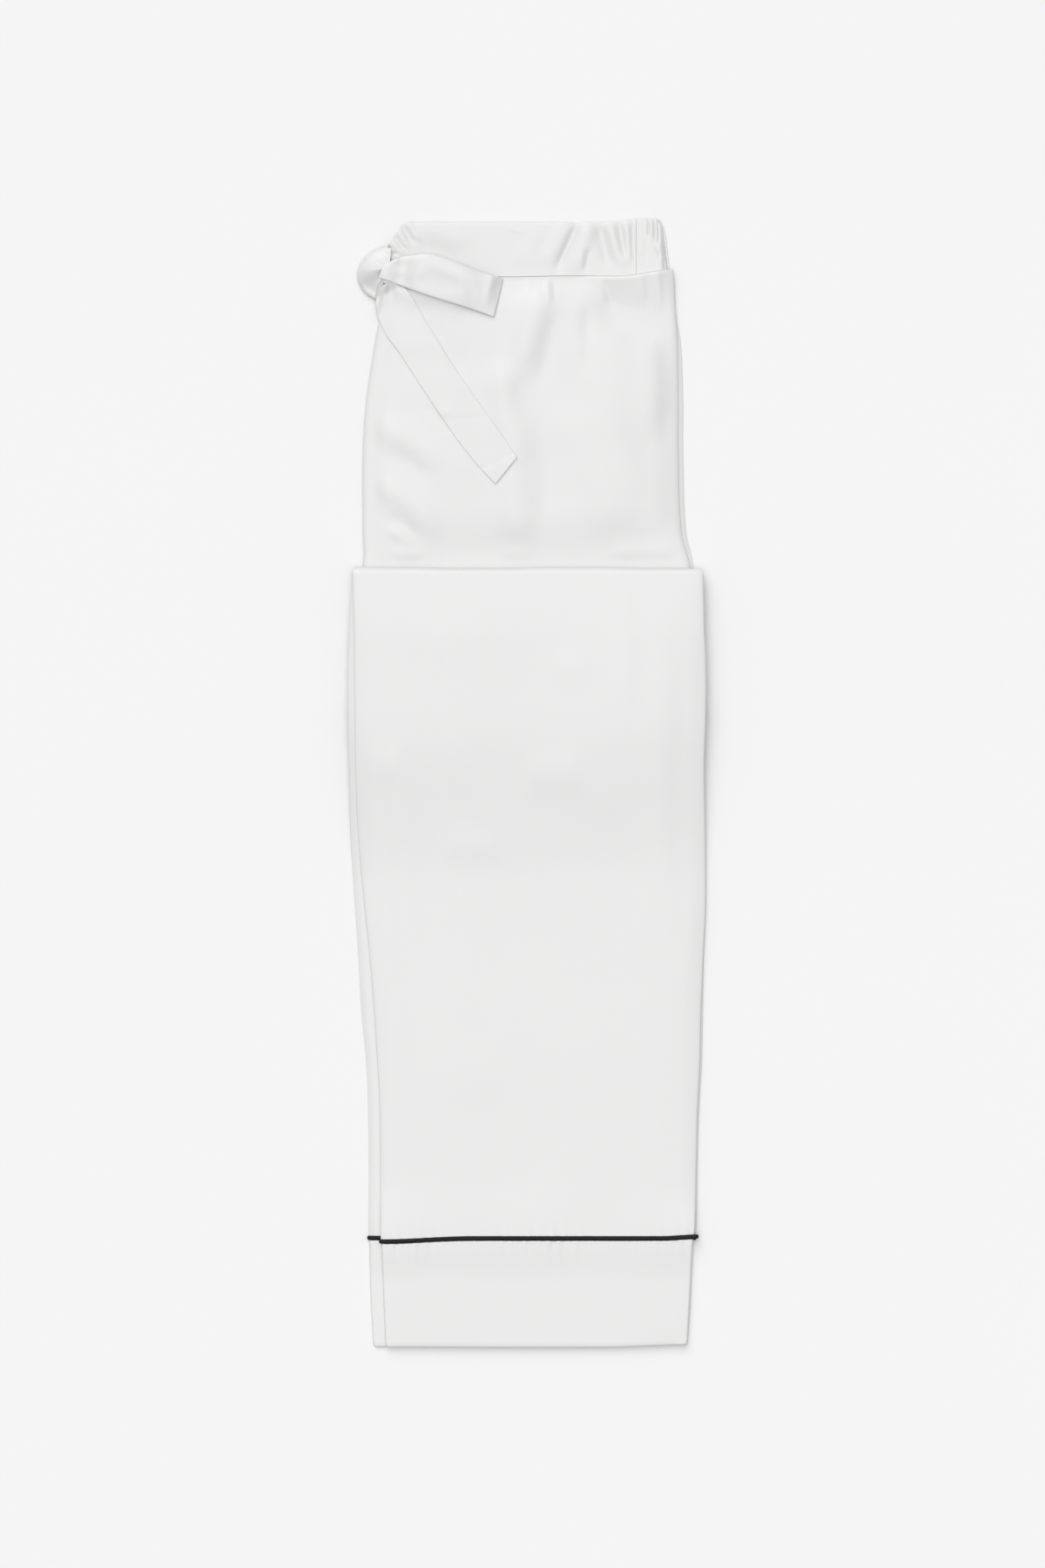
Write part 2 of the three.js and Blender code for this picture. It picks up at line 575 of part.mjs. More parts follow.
// Both backs as one solid. The left back lies over the right back, and a groove parts their edges
function backs() {
  return blockAlong(foldedRoute(FAR_BODY_ROWS), (spot) => {
    const near = edgesAt(spot, true);
    const far = edgesAt(spot, false);
    const inset = lerp(BACK_INSET, CENTRE_FRONT_INSET, spot.body);
    const lift = spot.leg ? pipingLift(spot.y) : 0;
    const flatBody = spot.body === 1 && spot.heading === Math.PI;
    const top = (x) => HALF_BACKS + lift + (flatBody ? BACKS_LOFT_SHARE * bodyLoft(x, spot.y) : 0);
    const nearLeft = near.left + inset;
    const farLeft = Math.min(far.left + inset, nearLeft - BACKS_OVERLAP);
    const nearRight = near.right - BACK_INSET;
    const farRight = far.right - BACK_INSET;
    const mid = lift * BACKS_MID_SHARE;
    const section = [[nearLeft, top(nearLeft) - BACKS_UPPER_RIM]];
    for (let k = 0; k <= BACKS_TOP_COLUMNS; k += 1) {
      const x = lerp(nearLeft + RIM, nearRight - RIM, k / BACKS_TOP_COLUMNS);
      section.push([x, top(x)]);
    }
    section.push([nearRight, top(nearRight) - BACKS_UPPER_RIM]);
    section.push([nearRight - BACKS_NEAR_LIP, mid + BACKS_SLIT]);
    section.push([nearRight - BACKS_GROOVE, mid]);
    section.push([farRight - BACKS_FAR_LIP, mid - BACKS_SLIT]);
    section.push([farRight, -HALF_BACKS + BACKS_UNDER_RIM]);
    for (let k = 0; k <= BACKS_UNDER_COLUMNS; k += 1) {
      section.push([lerp(farRight - RIM, farLeft + RIM, k / BACKS_UNDER_COLUMNS), -HALF_BACKS]);
    }
    section.push([farLeft, -HALF_BACKS + BACKS_UNDER_RIM]);
    section.push([farLeft + BACKS_FAR_LIP, mid - BACKS_SLIT]);
    section.push([nearLeft + BACKS_GROOVE, mid]);
    section.push([nearLeft + BACKS_NEAR_LIP, mid + BACKS_SLIT]);
    const end = smoothstep(-spot.y, BACKS_FOLLOW_START, -LEG_END);
    return section.map(([x, w]) => [x, w, end * Math.max(pipingShift(x), 0)]);
  });
}

// Solid sheet on a grid of middle points, half its thickness out to each side
function sheetSolid(grid, thickness) {
  const rows = grid.length;
  const count = grid[0].length;
  const unit = (from, to) => new THREE.Vector3().subVectors(to, from).normalize();
  const tangent = (before, at, after) => {
    const sum = new THREE.Vector3();
    if (before) sum.add(unit(before, at));
    if (after) sum.add(unit(at, after));
    return sum.normalize();
  };
  const sections = grid.map((row, i) => {
    const top = [];
    const under = [];
    row.forEach((point, j) => {
      const along = tangent(grid[i - 1]?.[j], point, grid[i + 1]?.[j]);
      const across = tangent(row[j - 1], point, row[j + 1]);
      const normal = new THREE.Vector3().crossVectors(along, across).normalize();
      const rim = j === 0 || j === count - 1 ? RIM_SHARE : 1;
      top.push(point.clone().addScaledVector(normal, (thickness * rim) / 2));
      under.unshift(point.clone().addScaledVector(normal, (-thickness * rim) / 2));
    });
    return [...top, ...under];
  });
  const points = sections.flat();
  const ring = count * 2;
  const triangles = [];
  for (let i = 0; i < rows - 1; i += 1) {
    for (let k = 0; k < ring; k += 1) {
      const a = i * ring + k;
      const b = i * ring + ((k + 1) % ring);
      triangles.push([a, b, b + ring], [a, b + ring, a + ring]);
    }
  }
  for (let j = 0; j < count - 1; j += 1) {
    const last = (rows - 1) * ring;
    const [a, b, c, d] = [j, j + 1, ring - 2 - j, ring - 1 - j];
    triangles.push([a, c, b], [a, d, c], [last + a, last + b, last + c], [last + a, last + c, last + d]);
  }
  return closedGeometry(points, triangles);
}

function bandRows() {
  const rows = [];
  for (let k = 0; k <= BAND_ROWS; k += 1) {
    const t = k / BAND_ROWS;
    rows.push({ y: lerp(BAND_SEAM, BAND_TOP, t), z: 0, heading: Math.PI, t });
  }
  return rows;
}

// The top edge rises to the side and has a notch at its crease
function bandTopShift(x) {
  const notch = BAND_NOTCH.deep * Math.exp(-(((x - BAND_NOTCH.x) / BAND_NOTCH.wide) ** 2));
  return BAND_TOP_RISE.high * smoothstep(x, BAND_TOP_RISE.start, BAND_TOP_RISE.end) - notch;
}

// The near layers also follow the curve of the seam, which fades up the band
const nearBandShift = (x, t) => lerp(bandSeamShift(x), bandTopShift(x), t);
const farBandShift = (x, t) => lerp(0, bandTopShift(x), t);

function bandRise(x, y) {
  const inside = Math.min(x - columnAt(BAND_EDGES, 'left', y), ELASTIC_START - x);
  return ridgeHeight(BAND_RIDGES, x, y) * smoothstep(inside, BAND_RIDGE_FADE.start, BAND_RIDGE_FADE.end);
}

function waistbandFrontLeft() {
  return wallAlong(bandRows(), (spot) => {
    const left = columnAt(BAND_EDGES, 'left', spot.y);
    const columns = acrossColumns(left, ELASTIC_START - SEAM_GAP, NEAR_BAND_COLUMNS);
    const lower = (x) => NEAR_BAND_LOW + bandRise(x, spot.y);
    const section = wallSection(columns, lower, (x) => lower(x) + BAND_CLOTH);
    return section.map(([x, w]) => [x, w, nearBandShift(x, spot.t)]);
  });
}

function waistbandFrontRight() {
  return wallAlong(bandRows(), (spot) => {
    const left = columnAt(BAND_EDGES, 'left', spot.y);
    const right = columnAt(BAND_EDGES, 'outerRight', spot.y);
    const columns = acrossColumns(left, right, FAR_BAND_COLUMNS);
    const section = wallSection(columns, () => 0, () => FAR_BAND_TOP);
    return section.map(([x, w]) => [x, w, farBandShift(x, spot.t)]);
  });
}

// The elastic back: hidden between the fronts, and full height with gathers where it comes round the side
function waistbandBack() {
  return blockAlong(bandRows(), (spot) => {
    const left = columnAt(BAND_EDGES, 'left', spot.y) + BAND_BACK_INSET.left;
    const right = columnAt(BAND_EDGES, 'right', spot.y);
    const farRight = columnAt(BAND_EDGES, 'outerRight', spot.y) - BAND_BACK_INSET.right;
    const pull = lerp(GATHERS.endShare, 1, Math.sin(Math.PI * spot.t));
    const section = [[left, BACK_BAND_TOP - BAND_BACK_RIM]];
    for (let k = 0; k <= BAND_BACK_TOP_COLUMNS; k += 1) {
      const x = lerp(left + RIM, ELASTIC_START - ELASTIC_WALL, k / BAND_BACK_TOP_COLUMNS);
      section.push([x, BACK_BAND_TOP]);
    }
    for (let k = 0; k <= GATHERS.count; k += 1) {
      const t = k / GATHERS.count;
      const wave = GATHERS.rise * (k % 2) * pull;
      const x = lerp(ELASTIC_START, right - GATHERS.inset, t);
      section.push([x, NEAR_BAND_TOP - GATHERS.sink + wave - GATHERS.fall * t]);
    }
    for (const { inset, drop } of BAND_SIDE) section.push([right - inset, NEAR_BAND_TOP - drop]);
    for (const { inset, rise } of BAND_UNDER_SIDE) section.push([farRight - inset, BACK_BAND_LOW + rise]);
    for (let k = 0; k <= BAND_BACK_UNDER_COLUMNS; k += 1) {
      const x = lerp(farRight - BAND_UNDER_INSET, left + RIM, k / BAND_BACK_UNDER_COLUMNS);
      section.push([x, BACK_BAND_LOW]);
    }
    section.push([left, BACK_BAND_LOW + BAND_BACK_RIM]);
    return section.map(([x, w]) => {
      const shift = w > NEAR_BAND_LOW - SEAM_GAP / 2 ? nearBandShift : farBandShift;
      return [x, w, shift(x, spot.t)];
    });
  });
}

// Top of what lies under the sash at one place
function groundAt(x, y) {
  const panel = LOW + NEAR_FACE + bodyRise(x, y) + slopedThickness(bodyRise, x, y);
  const band = NEAR_BAND_TOP + bandRise(x, y);
  const left = y > BAND_SEAM ? columnAt(BAND_EDGES, 'left', y) : columnAt(BODY_EDGES, 'left', y);
  const cover = smoothstep(x, left + GROUND_EDGE.start, left + GROUND_EDGE.end);
  const onBand = smoothstep(y, BAND_SEAM + GROUND_SEAM.start, BAND_SEAM + GROUND_SEAM.end);
  return lerp(panel, band, onBand) * cover;
}

// Highest ground within a small reach, so that a sheet over it stays clear
function clearGround(x, y, reach) {
  let top = groundAt(x, y);
  for (let k = 0; k < GROUND_DIRECTIONS; k += 1) {
    const angle = (2 * Math.PI * k) / GROUND_DIRECTIONS;
    top = Math.max(top, groundAt(x + reach * Math.cos(angle), y + reach * Math.sin(angle)));
  }
  return top;
}

// Distance from the knot's middle to its outline, at one angle, with the gap round it
function knotReach(angle) {
  const across = Math.cos(angle) / KNOT_RADII.x;
  const along = Math.sin(angle) / KNOT_RADII.y;
  return 1 / Math.hypot(across, along) + KNOT_GAP;
}

function insideKnot(x, y) {
  const [dx, dy] = [x - KNOT.x, y - KNOT.y];
  return Math.hypot(dx, dy) < knotReach(Math.atan2(dy, dx));
}

// Values of a strip's table at one share of its length, on smooth curves
function stripAt(rows, t) {
  const at = t * (rows.length - 1);
  const i = Math.min(Math.floor(at), rows.length - 2);
  const u = at - i;
  const value = (column) => {
    const [a, b] = [rows[i][column], rows[i + 1][column]];
    const before = i > 0 ? rows[i - 1][column] : 2 * a - b;
    const after = i < rows.length - 2 ? rows[i + 2][column] : 2 * b - a;
    const [start, end] = [(b - before) / 2, (after - a) / 2];
    return a + u * (start + u * (3 * (b - a) - 2 * start - end + u * (2 * (a - b) + start + end)));
  };
  return Object.fromEntries(Object.keys(rows[0]).map((column) => [column, value(column)]));
}

// Place on a strip at a share along and a share across
function stripPlace(rows, t, side) {
  const { leftX, leftY, rightX, rightY } = stripAt(rows, t);
  return { x: lerp(leftX, rightX, side), y: lerp(leftY, rightY, side) };
}

// First share of a strip's length at which one of its columns is clear of the knot
function leavesKnot(rows, side) {
  let t = 0;
  let place = stripPlace(rows, t, side);
  while (insideKnot(place.x, place.y)) {
    t += KNOT_SEARCH_STEP;
    place = stripPlace(rows, t, side);
  }
  return t;
}

function tieTail() {
  const grid = [];
  for (let i = 0; i <= TAIL_ROWS; i += 1) {
    const row = [];
    for (let j = 0; j <= TAIL_COLUMNS; j += 1) {
      const side = j / TAIL_COLUMNS;
      const { x, y } = stripPlace(TAIL_EDGES, lerp(leavesKnot(TAIL_EDGES, side), 1, i / TAIL_ROWS), side);
      row.push(new THREE.Vector3(x, y, clearGround(x, y, TAIL_REACH) + SASH_CLEAR + SASH_CLOTH / 2));
    }
    grid.push(row);
  }
  return sheetSolid(grid, SASH_CLOTH);
}

// Stages of a loop: out on the lower run, round its far end, and back on the upper run
function loopStages(rows) {
  const stages = [];
  for (let i = 0; i <= rows; i += 1) stages.push({ t: i / rows, turn: 0 });
  for (let k = 1; k < LOOP_TURN_STEPS; k += 1) stages.push({ t: 1, turn: (Math.PI * k) / LOOP_TURN_STEPS });
  for (let i = rows; i >= 0; i -= 1) stages.push({ t: i / rows, turn: Math.PI });
  return stages;
}

// Point of a loop on its turn, given the heights of both runs and the way out
function loopPoint(x, y, low, high, turn, outwards) {
  const radius = (high - low) / 2;
  const out = radius * Math.sin(turn);
  return new THREE.Vector3(x + outwards.x * out, y + outwards.y * out, low + radius * (1 - Math.cos(turn)));
}

function tieLoopFront() {
  const [first, last] = [FRONT_LOOP_EDGES[0], FRONT_LOOP_EDGES[FRONT_LOOP_EDGES.length - 1]];
  const outwards = new THREE.Vector2(last.leftX - first.leftX, last.leftY - first.leftY).normalize();
  const grid = loopStages(FRONT_LOOP_ROWS).map(({ t, turn }) => {
    const row = [];
    for (let j = 0; j <= FRONT_LOOP_COLUMNS; j += 1) {
      const side = j / FRONT_LOOP_COLUMNS;
      const at = lerp(leavesKnot(FRONT_LOOP_EDGES, side), 1, t);
      const { x, y } = stripPlace(FRONT_LOOP_EDGES, at, side);
      const { low, high } = stripAt(FRONT_LOOP_EDGES, at);
      const ground = clearGround(x, y, FRONT_LOOP_REACH);
      row.push(loopPoint(x, y, ground + low, ground + high, turn, outwards));
    }
    return row;
  });
  return sheetSolid(grid, SASH_CLOTH);
}

function tieLoopSide() {
  const heightAt = (column, out) => {
    const next = Math.max(SIDE_LOOP_HEIGHTS.findIndex((row) => row.out >= out), 1);
    const [a, b] = [SIDE_LOOP_HEIGHTS[next - 1], SIDE_LOOP_HEIGHTS[next]];
    return lerp(a[column], b[column], (out - a.out) / (b.out - a.out));
  };
  const end = SIDE_LOOP_HEIGHTS[SIDE_LOOP_HEIGHTS.length - 1];
  const turnRadius = (end.high - end.low) / 2;
  const grid = loopStages(SIDE_LOOP_HEIGHTS.length + 1).map(({ t, turn }) => {
    return SIDE_LOOP_FAN.map(({ degrees, reach }) => {
      const angle = THREE.MathUtils.degToRad(degrees);
      const outwards = new THREE.Vector2(Math.cos(angle), Math.sin(angle));
      const distance = lerp(knotReach(angle), reach - turnRadius, t);
      const x = KNOT.x + outwards.x * distance;
      const y = KNOT.y + outwards.y * distance;
      const rest = clearGround(x, y, SIDE_LOOP_REACH) + SASH_CLEAR + SASH_CLOTH / 2;
      const low = Math.max(heightAt('low', t), rest);
      return loopPoint(x, y, low, Math.max(heightAt('high', t), low + LOOP_LEAST_RISE), turn, outwards);
    });
  });
  return sheetSolid(grid, SASH_CLOTH);
}

// Knot: a low, broad wrap with soft pleats round it
function tieKnot() {
  const points = [];
  for (let i = 1; i < KNOT_ROWS; i += 1) {
    const tilt = (Math.PI * i) / KNOT_ROWS;
    for (let k = 0; k < KNOT_SIDES; k += 1) {
      const turn = (2 * Math.PI * k) / KNOT_SIDES;
      const pleat = 1 - KNOT_PLEAT * (1 + Math.cos(KNOT_PLEATS * turn));
      const ring = Math.sin(tilt) ** KNOT_POWER * pleat;
      points.push(new THREE.Vector3(
        KNOT.x + KNOT_RADII.x * ring * Math.cos(turn),
        KNOT.y + KNOT_RADII.y * Math.cos(tilt),
        KNOT.z + KNOT_RADII.z * ring * Math.sin(turn),
      ));
    }
  }
  const rings = KNOT_ROWS - 1;
  const triangles = [];
  for (let k = 0; k < KNOT_SIDES; k += 1) {
    const next = (k + 1) % KNOT_SIDES;
    for (let i = 0; i < rings - 1; i += 1) {
      const [a, b] = [i * KNOT_SIDES + k, i * KNOT_SIDES + next];
      triangles.push([a, b, b + KNOT_SIDES], [a, b + KNOT_SIDES, a + KNOT_SIDES]);
    }
    const last = (rings - 1) * KNOT_SIDES;
    triangles.push([points.length, next, k], [points.length + 1, last + k, last + next]);
  }
  points.push(new THREE.Vector3(KNOT.x, KNOT.y + KNOT_RADII.y, KNOT.z));
  points.push(new THREE.Vector3(KNOT.x, KNOT.y - KNOT_RADII.y, KNOT.z));
  return closedGeometry(points, triangles);
}

// Flattened tube: an outer and an inner loop at each row, joined at both ends
function tubeSolid(outer, inner) {
  const rows = outer.length;
  const count = outer[0].length;
  const points = [...outer.flat(), ...inner.flat()];
  const inside = rows * count;
  const triangles = [];
  for (let k = 0; k < count; k += 1) {
    const next = (k + 1) % count;
    for (let i = 0; i < rows - 1; i += 1) {
      const [a, b, c, d] = [i * count + k, i * count + next, (i + 1) * count + next, (i + 1) * count + k];
      triangles.push([a, b, c], [a, c, d]);
      triangles.push([inside + a, inside + c, inside + b], [inside + a, inside + d, inside + c]);
    }
    const last = (rows - 1) * count;
    triangles.push([k, inside + k, inside + next], [k, inside + next, next]);
    triangles.push([last + k, last + next, inside + last + next]);
    triangles.push([last + k, inside + last + next, inside + last + k]);
  }
  return closedGeometry(points, triangles);
}

// Loop round a flattened cuff: along the top to the right, and back along the bottom
function cuffLoop(left, right, low, high, count) {
  const loop = [];
  const corner = Math.min((high - low) * CUFF_CORNER.share, CUFF_CORNER.most);
  for (let k = 0; k <= count; k += 1) loop.push([lerp(left + corner, right - corner, k / count), high]);
  loop.push([right, high - corner], [right, low + corner]);
  for (let k = count; k >= 0; k -= 1) loop.push([lerp(left + corner, right - corner, k / count), low]);
  loop.push([left, low + corner], [left, high - corner]);
  return loop;
}

function cuff(heights, leftColumn, rightColumn, inset, seamShift) {
  const rowPoints = (t, wall) => {
    const y = lerp(CUFF_START, HEM_LINE, t);
    const swell = smoothstep(CUFF_BULGE_RUN - t, 0, CUFF_BULGE_RUN);
    const atHem = t === 1 ? 1 : 0;
    const trim = wall === 0 ? HEM_TRIM.face * atHem : 0;
    const low = lerp(heights.hemLow, heights.seamLow, swell) + wall + trim;
    const high = lerp(heights.hemHigh, heights.seamHigh, swell) - wall - trim;
    const left = columnAt(LEG_EDGES, leftColumn, y) + wall + HEM_TRIM.side * atHem;
    const right = columnAt(LEG_EDGES, rightColumn, y) - wall - inset - HEM_TRIM.side * atHem;
    return cuffLoop(left, right, low, high, CUFF_COLUMNS).map(([x, z]) => {
      const sag = HEM_SAG.deep * Math.exp(-((x / HEM_SAG.wide) ** 2));
      const hem = HEM_RISE.high * smoothstep(x, HEM_RISE.start, HEM_RISE.end) - sag;
      return new THREE.Vector3(x, y + seamShift(x) * (1 - t) + hem * atHem, z);
    });
  };
  const outer = CUFF_ROWS.map((t) => rowPoints(t, 0));
  const inner = CUFF_ROWS.map((t) => rowPoints(t, CLOTH));
  return tubeSolid(outer, inner);
}

function piping(levels, seamShift) {
  const { left, right } = levels;
  const radius = (levels.high - levels.low) / 2;
  const centre = (levels.high + levels.low) / 2;
  const path = [];
  for (let k = 0; k <= PIPING_RUN_STEPS; k += 1) {
    path.push({ x: lerp(left + radius, right - radius, k / PIPING_RUN_STEPS), turn: Math.PI / 2 });
  }
  for (let k = 1; k < PIPING_TURN_STEPS; k += 1) {
    path.push({ x: right - radius, turn: Math.PI / 2 - (Math.PI * k) / PIPING_TURN_STEPS });
  }
  for (let k = PIPING_RUN_STEPS; k >= 0; k -= 2) {
    path.push({ x: lerp(left + radius, right - radius, k / PIPING_RUN_STEPS), turn: -Math.PI / 2 });
  }
  for (let k = 1; k < PIPING_TURN_STEPS; k += 1) {
    path.push({ x: left + radius, turn: -Math.PI / 2 - (Math.PI * k) / PIPING_TURN_STEPS });
  }
  const rows = path.map(({ x, turn }) => {
    const up = (Math.sin(turn) + 1) / 2;
    const half = lerp(levels.lowHalf, levels.highHalf, up);
    const row = [];
    for (let k = 0; k < PIPING_SIDES; k += 1) {
      const angle = (2 * Math.PI * k) / PIPING_SIDES;
      const out = radius + half * Math.cos(angle);
      const px = x + Math.cos(turn) * out;
      row.push(new THREE.Vector3(
        px,
        PIPING_LINE + seamShift(px) + (PIPING_WIDTH / 2) * Math.sin(angle),
        centre + Math.sin(turn) * out,
      ));
    }
    return row;
  });
  const points = rows.flat();
  const triangles = [];
  rows.forEach((row, i) => {
    const next = (i + 1) % rows.length;
    for (let k = 0; k < PIPING_SIDES; k += 1) {
      const side = (k + 1) % PIPING_SIDES;
      const [a, b] = [i * PIPING_SIDES + k, i * PIPING_SIDES + side];
      const [c, d] = [next * PIPING_SIDES + side, next * PIPING_SIDES + k];
      triangles.push([a, b, c], [a, c, d]);
    }
  });
  return closedGeometry(points, triangles);
}

function addPiece(group, name, geometry, finish) {
  const mesh = new THREE.Mesh(geometry, new THREE.MeshStandardMaterial(finish));
  mesh.name = name;
  group.add(mesh);
}

const pants = new THREE.Group();
addPiece(pants, 'front_left', frontLeft(), SATIN);
addPiece(pants, 'front_right', frontRight(), SATIN);
addPiece(pants, 'backs_folded', backs(), SATIN);
addPiece(pants, 'waistband_front_left', waistbandFrontLeft(), SATIN);
addPiece(pants, 'waistband_front_right', waistbandFrontRight(), SATIN);
addPiece(pants, 'waistband_back', waistbandBack(), SATIN);
addPiece(pants, 'tie_tail', tieTail(), SATIN);
addPiece(pants, 'tie_loop_front', tieLoopFront(), SATIN);
addPiece(pants, 'tie_loop_side', tieLoopSide(), SATIN);
addPiece(pants, 'tie_knot', tieKnot(), SATIN);
addPiece(pants, 'cuff_left', cuff(NEAR_CUFF, 'left', 'right', 0, pipingShift), SATIN);
addPiece(pants, 'cuff_right', cuff(FAR_CUFF, 'outerLeft', 'outerRight', FAR_CUFF_INSET, straight), SATIN);
addPiece(pants, 'piping_left', piping(NEAR_PIPING, pipingShift), CORD);
addPiece(pants, 'piping_right', piping(FAR_PIPING, straight), CORD);

export default pants;
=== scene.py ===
"""Satin pyjama pants, folded lengthwise, with the legs turned over on top and a sash tied in a bow.

Lengths are in millimetres in the garment's own frame and become metres when a mesh is made.
+X is towards the side seams, +Y towards the waist, and +Z up from the table.
"""

import logging
import math
from dataclasses import dataclass, field
from enum import Enum

import bpy
import numpy as np
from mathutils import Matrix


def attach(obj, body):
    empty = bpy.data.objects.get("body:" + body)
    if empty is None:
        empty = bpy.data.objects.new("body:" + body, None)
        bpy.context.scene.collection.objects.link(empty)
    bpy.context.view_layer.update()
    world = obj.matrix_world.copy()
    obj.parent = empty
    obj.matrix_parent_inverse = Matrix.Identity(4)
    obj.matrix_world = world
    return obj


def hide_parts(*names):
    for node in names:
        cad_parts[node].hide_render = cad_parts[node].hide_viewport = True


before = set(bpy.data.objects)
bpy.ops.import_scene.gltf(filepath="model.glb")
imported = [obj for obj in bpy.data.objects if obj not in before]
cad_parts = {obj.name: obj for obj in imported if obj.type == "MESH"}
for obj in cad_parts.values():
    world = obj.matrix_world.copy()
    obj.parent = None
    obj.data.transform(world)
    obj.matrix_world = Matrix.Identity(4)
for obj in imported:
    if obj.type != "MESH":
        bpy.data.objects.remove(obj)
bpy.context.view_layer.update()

LOG = logging.getLogger("pyjama_pants")
MM = 0.001
Array = np.ndarray
Stretches = tuple[tuple[float, float, float], ...]


# Heights of the layers and lines that several pieces share
CLOTH = 1.0
BACKS = 1.6
SEAM_GAP = 0.3
STRETCH_GAP = 0.4
HALF_STACK = BACKS / 2 + SEAM_GAP + CLOTH
NEAR_FACE = BACKS / 2 + SEAM_GAP
BAND_SEAM = 377.0
FOLD_EDGE = 159.6
TUCK_EDGE = 57.0
PIPING_LINE = -339.6
PIPING_WIDTH = 3.1
HEM_LINE = -420.4
LEG_END = PIPING_LINE + PIPING_WIDTH / 2 + SEAM_GAP
CUFF_START = PIPING_LINE - PIPING_WIDTH / 2 - SEAM_GAP

# The first rim row of a rounded edge, as a share of a row in from the true edge
RIM_START = 0.35

# The near piping dips at the centre front and turns up at the side; the band's seam climbs to the side
PIPING_DIP = 2.4
PIPING_TURN_UP = 1.2
BAND_SEAM_CLIMB = 5
BAND_SEAM_STEP = 0.7


def smoothstep(value: Array | float, low: float, high: float) -> Array:
    """Eases from 0 at low to 1 at high, as 3t² - 2t³.

    Args:
        value: where to read the curve.
        low: where it leaves 0.
        high: where it reaches 1.

    Returns:
        The eased share, as an array.
    """
    t = np.clip((np.asarray(value, float) - low) / (high - low), 0.0, 1.0)
    return t * t * (3 - 2 * t)


def lerp(a: Array | float, b: Array | float, t: Array | float) -> Array:
    """Straight mix of a and b."""
    return np.asarray(a) * (1 - np.asarray(t)) + np.asarray(b) * np.asarray(t)


def cubic(start: Array, stop: Array, slopes: tuple[Array, Array], span: Array | float, t: Array) -> Array:
    """Cubic from start to stop over a span, with the given slopes at its two ends, read at t from 0 to 1."""
    curve = lerp(start, stop, t * t * (3 - 2 * t))
    return curve + t * (1 - t) ** 2 * span * slopes[0] - t * t * (1 - t) * span * slopes[1]


def bell(value: Array, middle: float, wide: float) -> Array:
    """Bell curve of height 1 round its middle."""
    return np.exp(-(((value - middle) / wide) ** 2))


class EdgeTable:
    """Side edges at a few heights, read as smooth curves between them."""

    def __init__(self, columns: tuple[str, ...], rows: tuple[tuple[float, ...], ...]) -> None:
        """Keeps the rows in rising order of their first column.

        Args:
            columns: names of the columns; the first is the height y.
            rows: one row for each height.
        """
        table = np.array(sorted(rows), float)
        self.y = table[:, 0]
        self.values = {name: table[:, k] for k, name in enumerate(columns)}

    def read(self, column: str, y: Array | float) -> Array:
        """Cubic through the rows, with each row's slope taken from its two neighbours.

        Args:
            column: the column to read.
            y: heights, held to the table's range.

        Returns:
            The column's value at each height.
        """
        ys, vs = self.y, self.values[column]
        slopes = np.empty_like(vs)
        slopes[1:-1] = (vs[2:] - vs[:-2]) / (ys[2:] - ys[:-2])
        slopes[0] = (vs[1] - vs[0]) / (ys[1] - ys[0])
        slopes[-1] = (vs[-1] - vs[-2]) / (ys[-1] - ys[-2])
        at = np.clip(np.asarray(y, float), ys[0], ys[-1])
        i = np.clip(np.searchsorted(ys, at, side="right") - 1, 0, len(ys) - 2)
        span = ys[i + 1] - ys[i]
        t = (at - ys[i]) / span
        return cubic(vs[i], vs[i + 1], (slopes[i], slopes[i + 1]), span, t)


BODY_EDGES = EdgeTable(
    ("y", "left", "right", "outer_left", "outer_right"),
    (
        (382, -104, 108.6, -104, 108.9),
        (353, -108, 110.5, -108, 110.8),
        (344, -110, 111.2, -110, 111.9),
        (336, -111.6, 111.8, -111.6, 113.7),
        (324, -113.8, 112.3, -113.8, 115.1),
        (285, -119.6, 112.8, -119.6, 116.4),
        (246, -122.2, 112.8, -122.2, 116.4),
        (188, -122.2, 115, -122.2, 118.5),
        (164, -121.8, 121, -121.8, 124),
        (120, -127, 128, -128, 129.5),
        (50, -130, 130, -131, 131.5),
    ),
)

LEG_EDGES = EdgeTable(
    ("y", "left", "right", "outer_left", "outer_right"),
    (
        (164, -129.9, 131.2, -129.9, 131.2),
        (158, -129.7, 131, -130, 131.3),
        (129, -128.7, 131.2, -131.2, 131.6),
        (90, -128.4, 132.9, -133, 133.1),
        (50, -128, 132.9, -133, 133.1),
        (12, -127.6, 131.8, -132.2, 132),
        (-42, -125.4, 132.8, -131.2, 133.1),
        (-90, -121.2, 133, -128.4, 133.6),
        (-131, -116.9, 131.2, -125.6, 132),
        (-170, -113.8, 129.6, -123.5, 131.3),
        (-209, -111.2, 128.8, -119.8, 130.5),
        (-248, -109.5, 126.9, -118.3, 128.4),
        (-332, -108.9, 125, -117.7, 126.3),
        (-345, -108.4, 123.6, -117.5, 124.8),
        (-384, -106.8, 121.5, -116.6, 123.2),
        (-421, -105.4, 119.5, -114.6, 120.8),
    ),
)

BAND_EDGES = EdgeTable(
    ("y", "left", "near_right", "far_right"),
    (
        (422, -87.5, 93.4, 96),
        (418, -89.6, 97, 99),
        (414, -93.2, 99.6, 101.3),
        (409, -96.8, 100.6, 102.9),
        (397, -104, 101, 104.6),
        (376, -104, 101.8, 107.4),
    ),
)


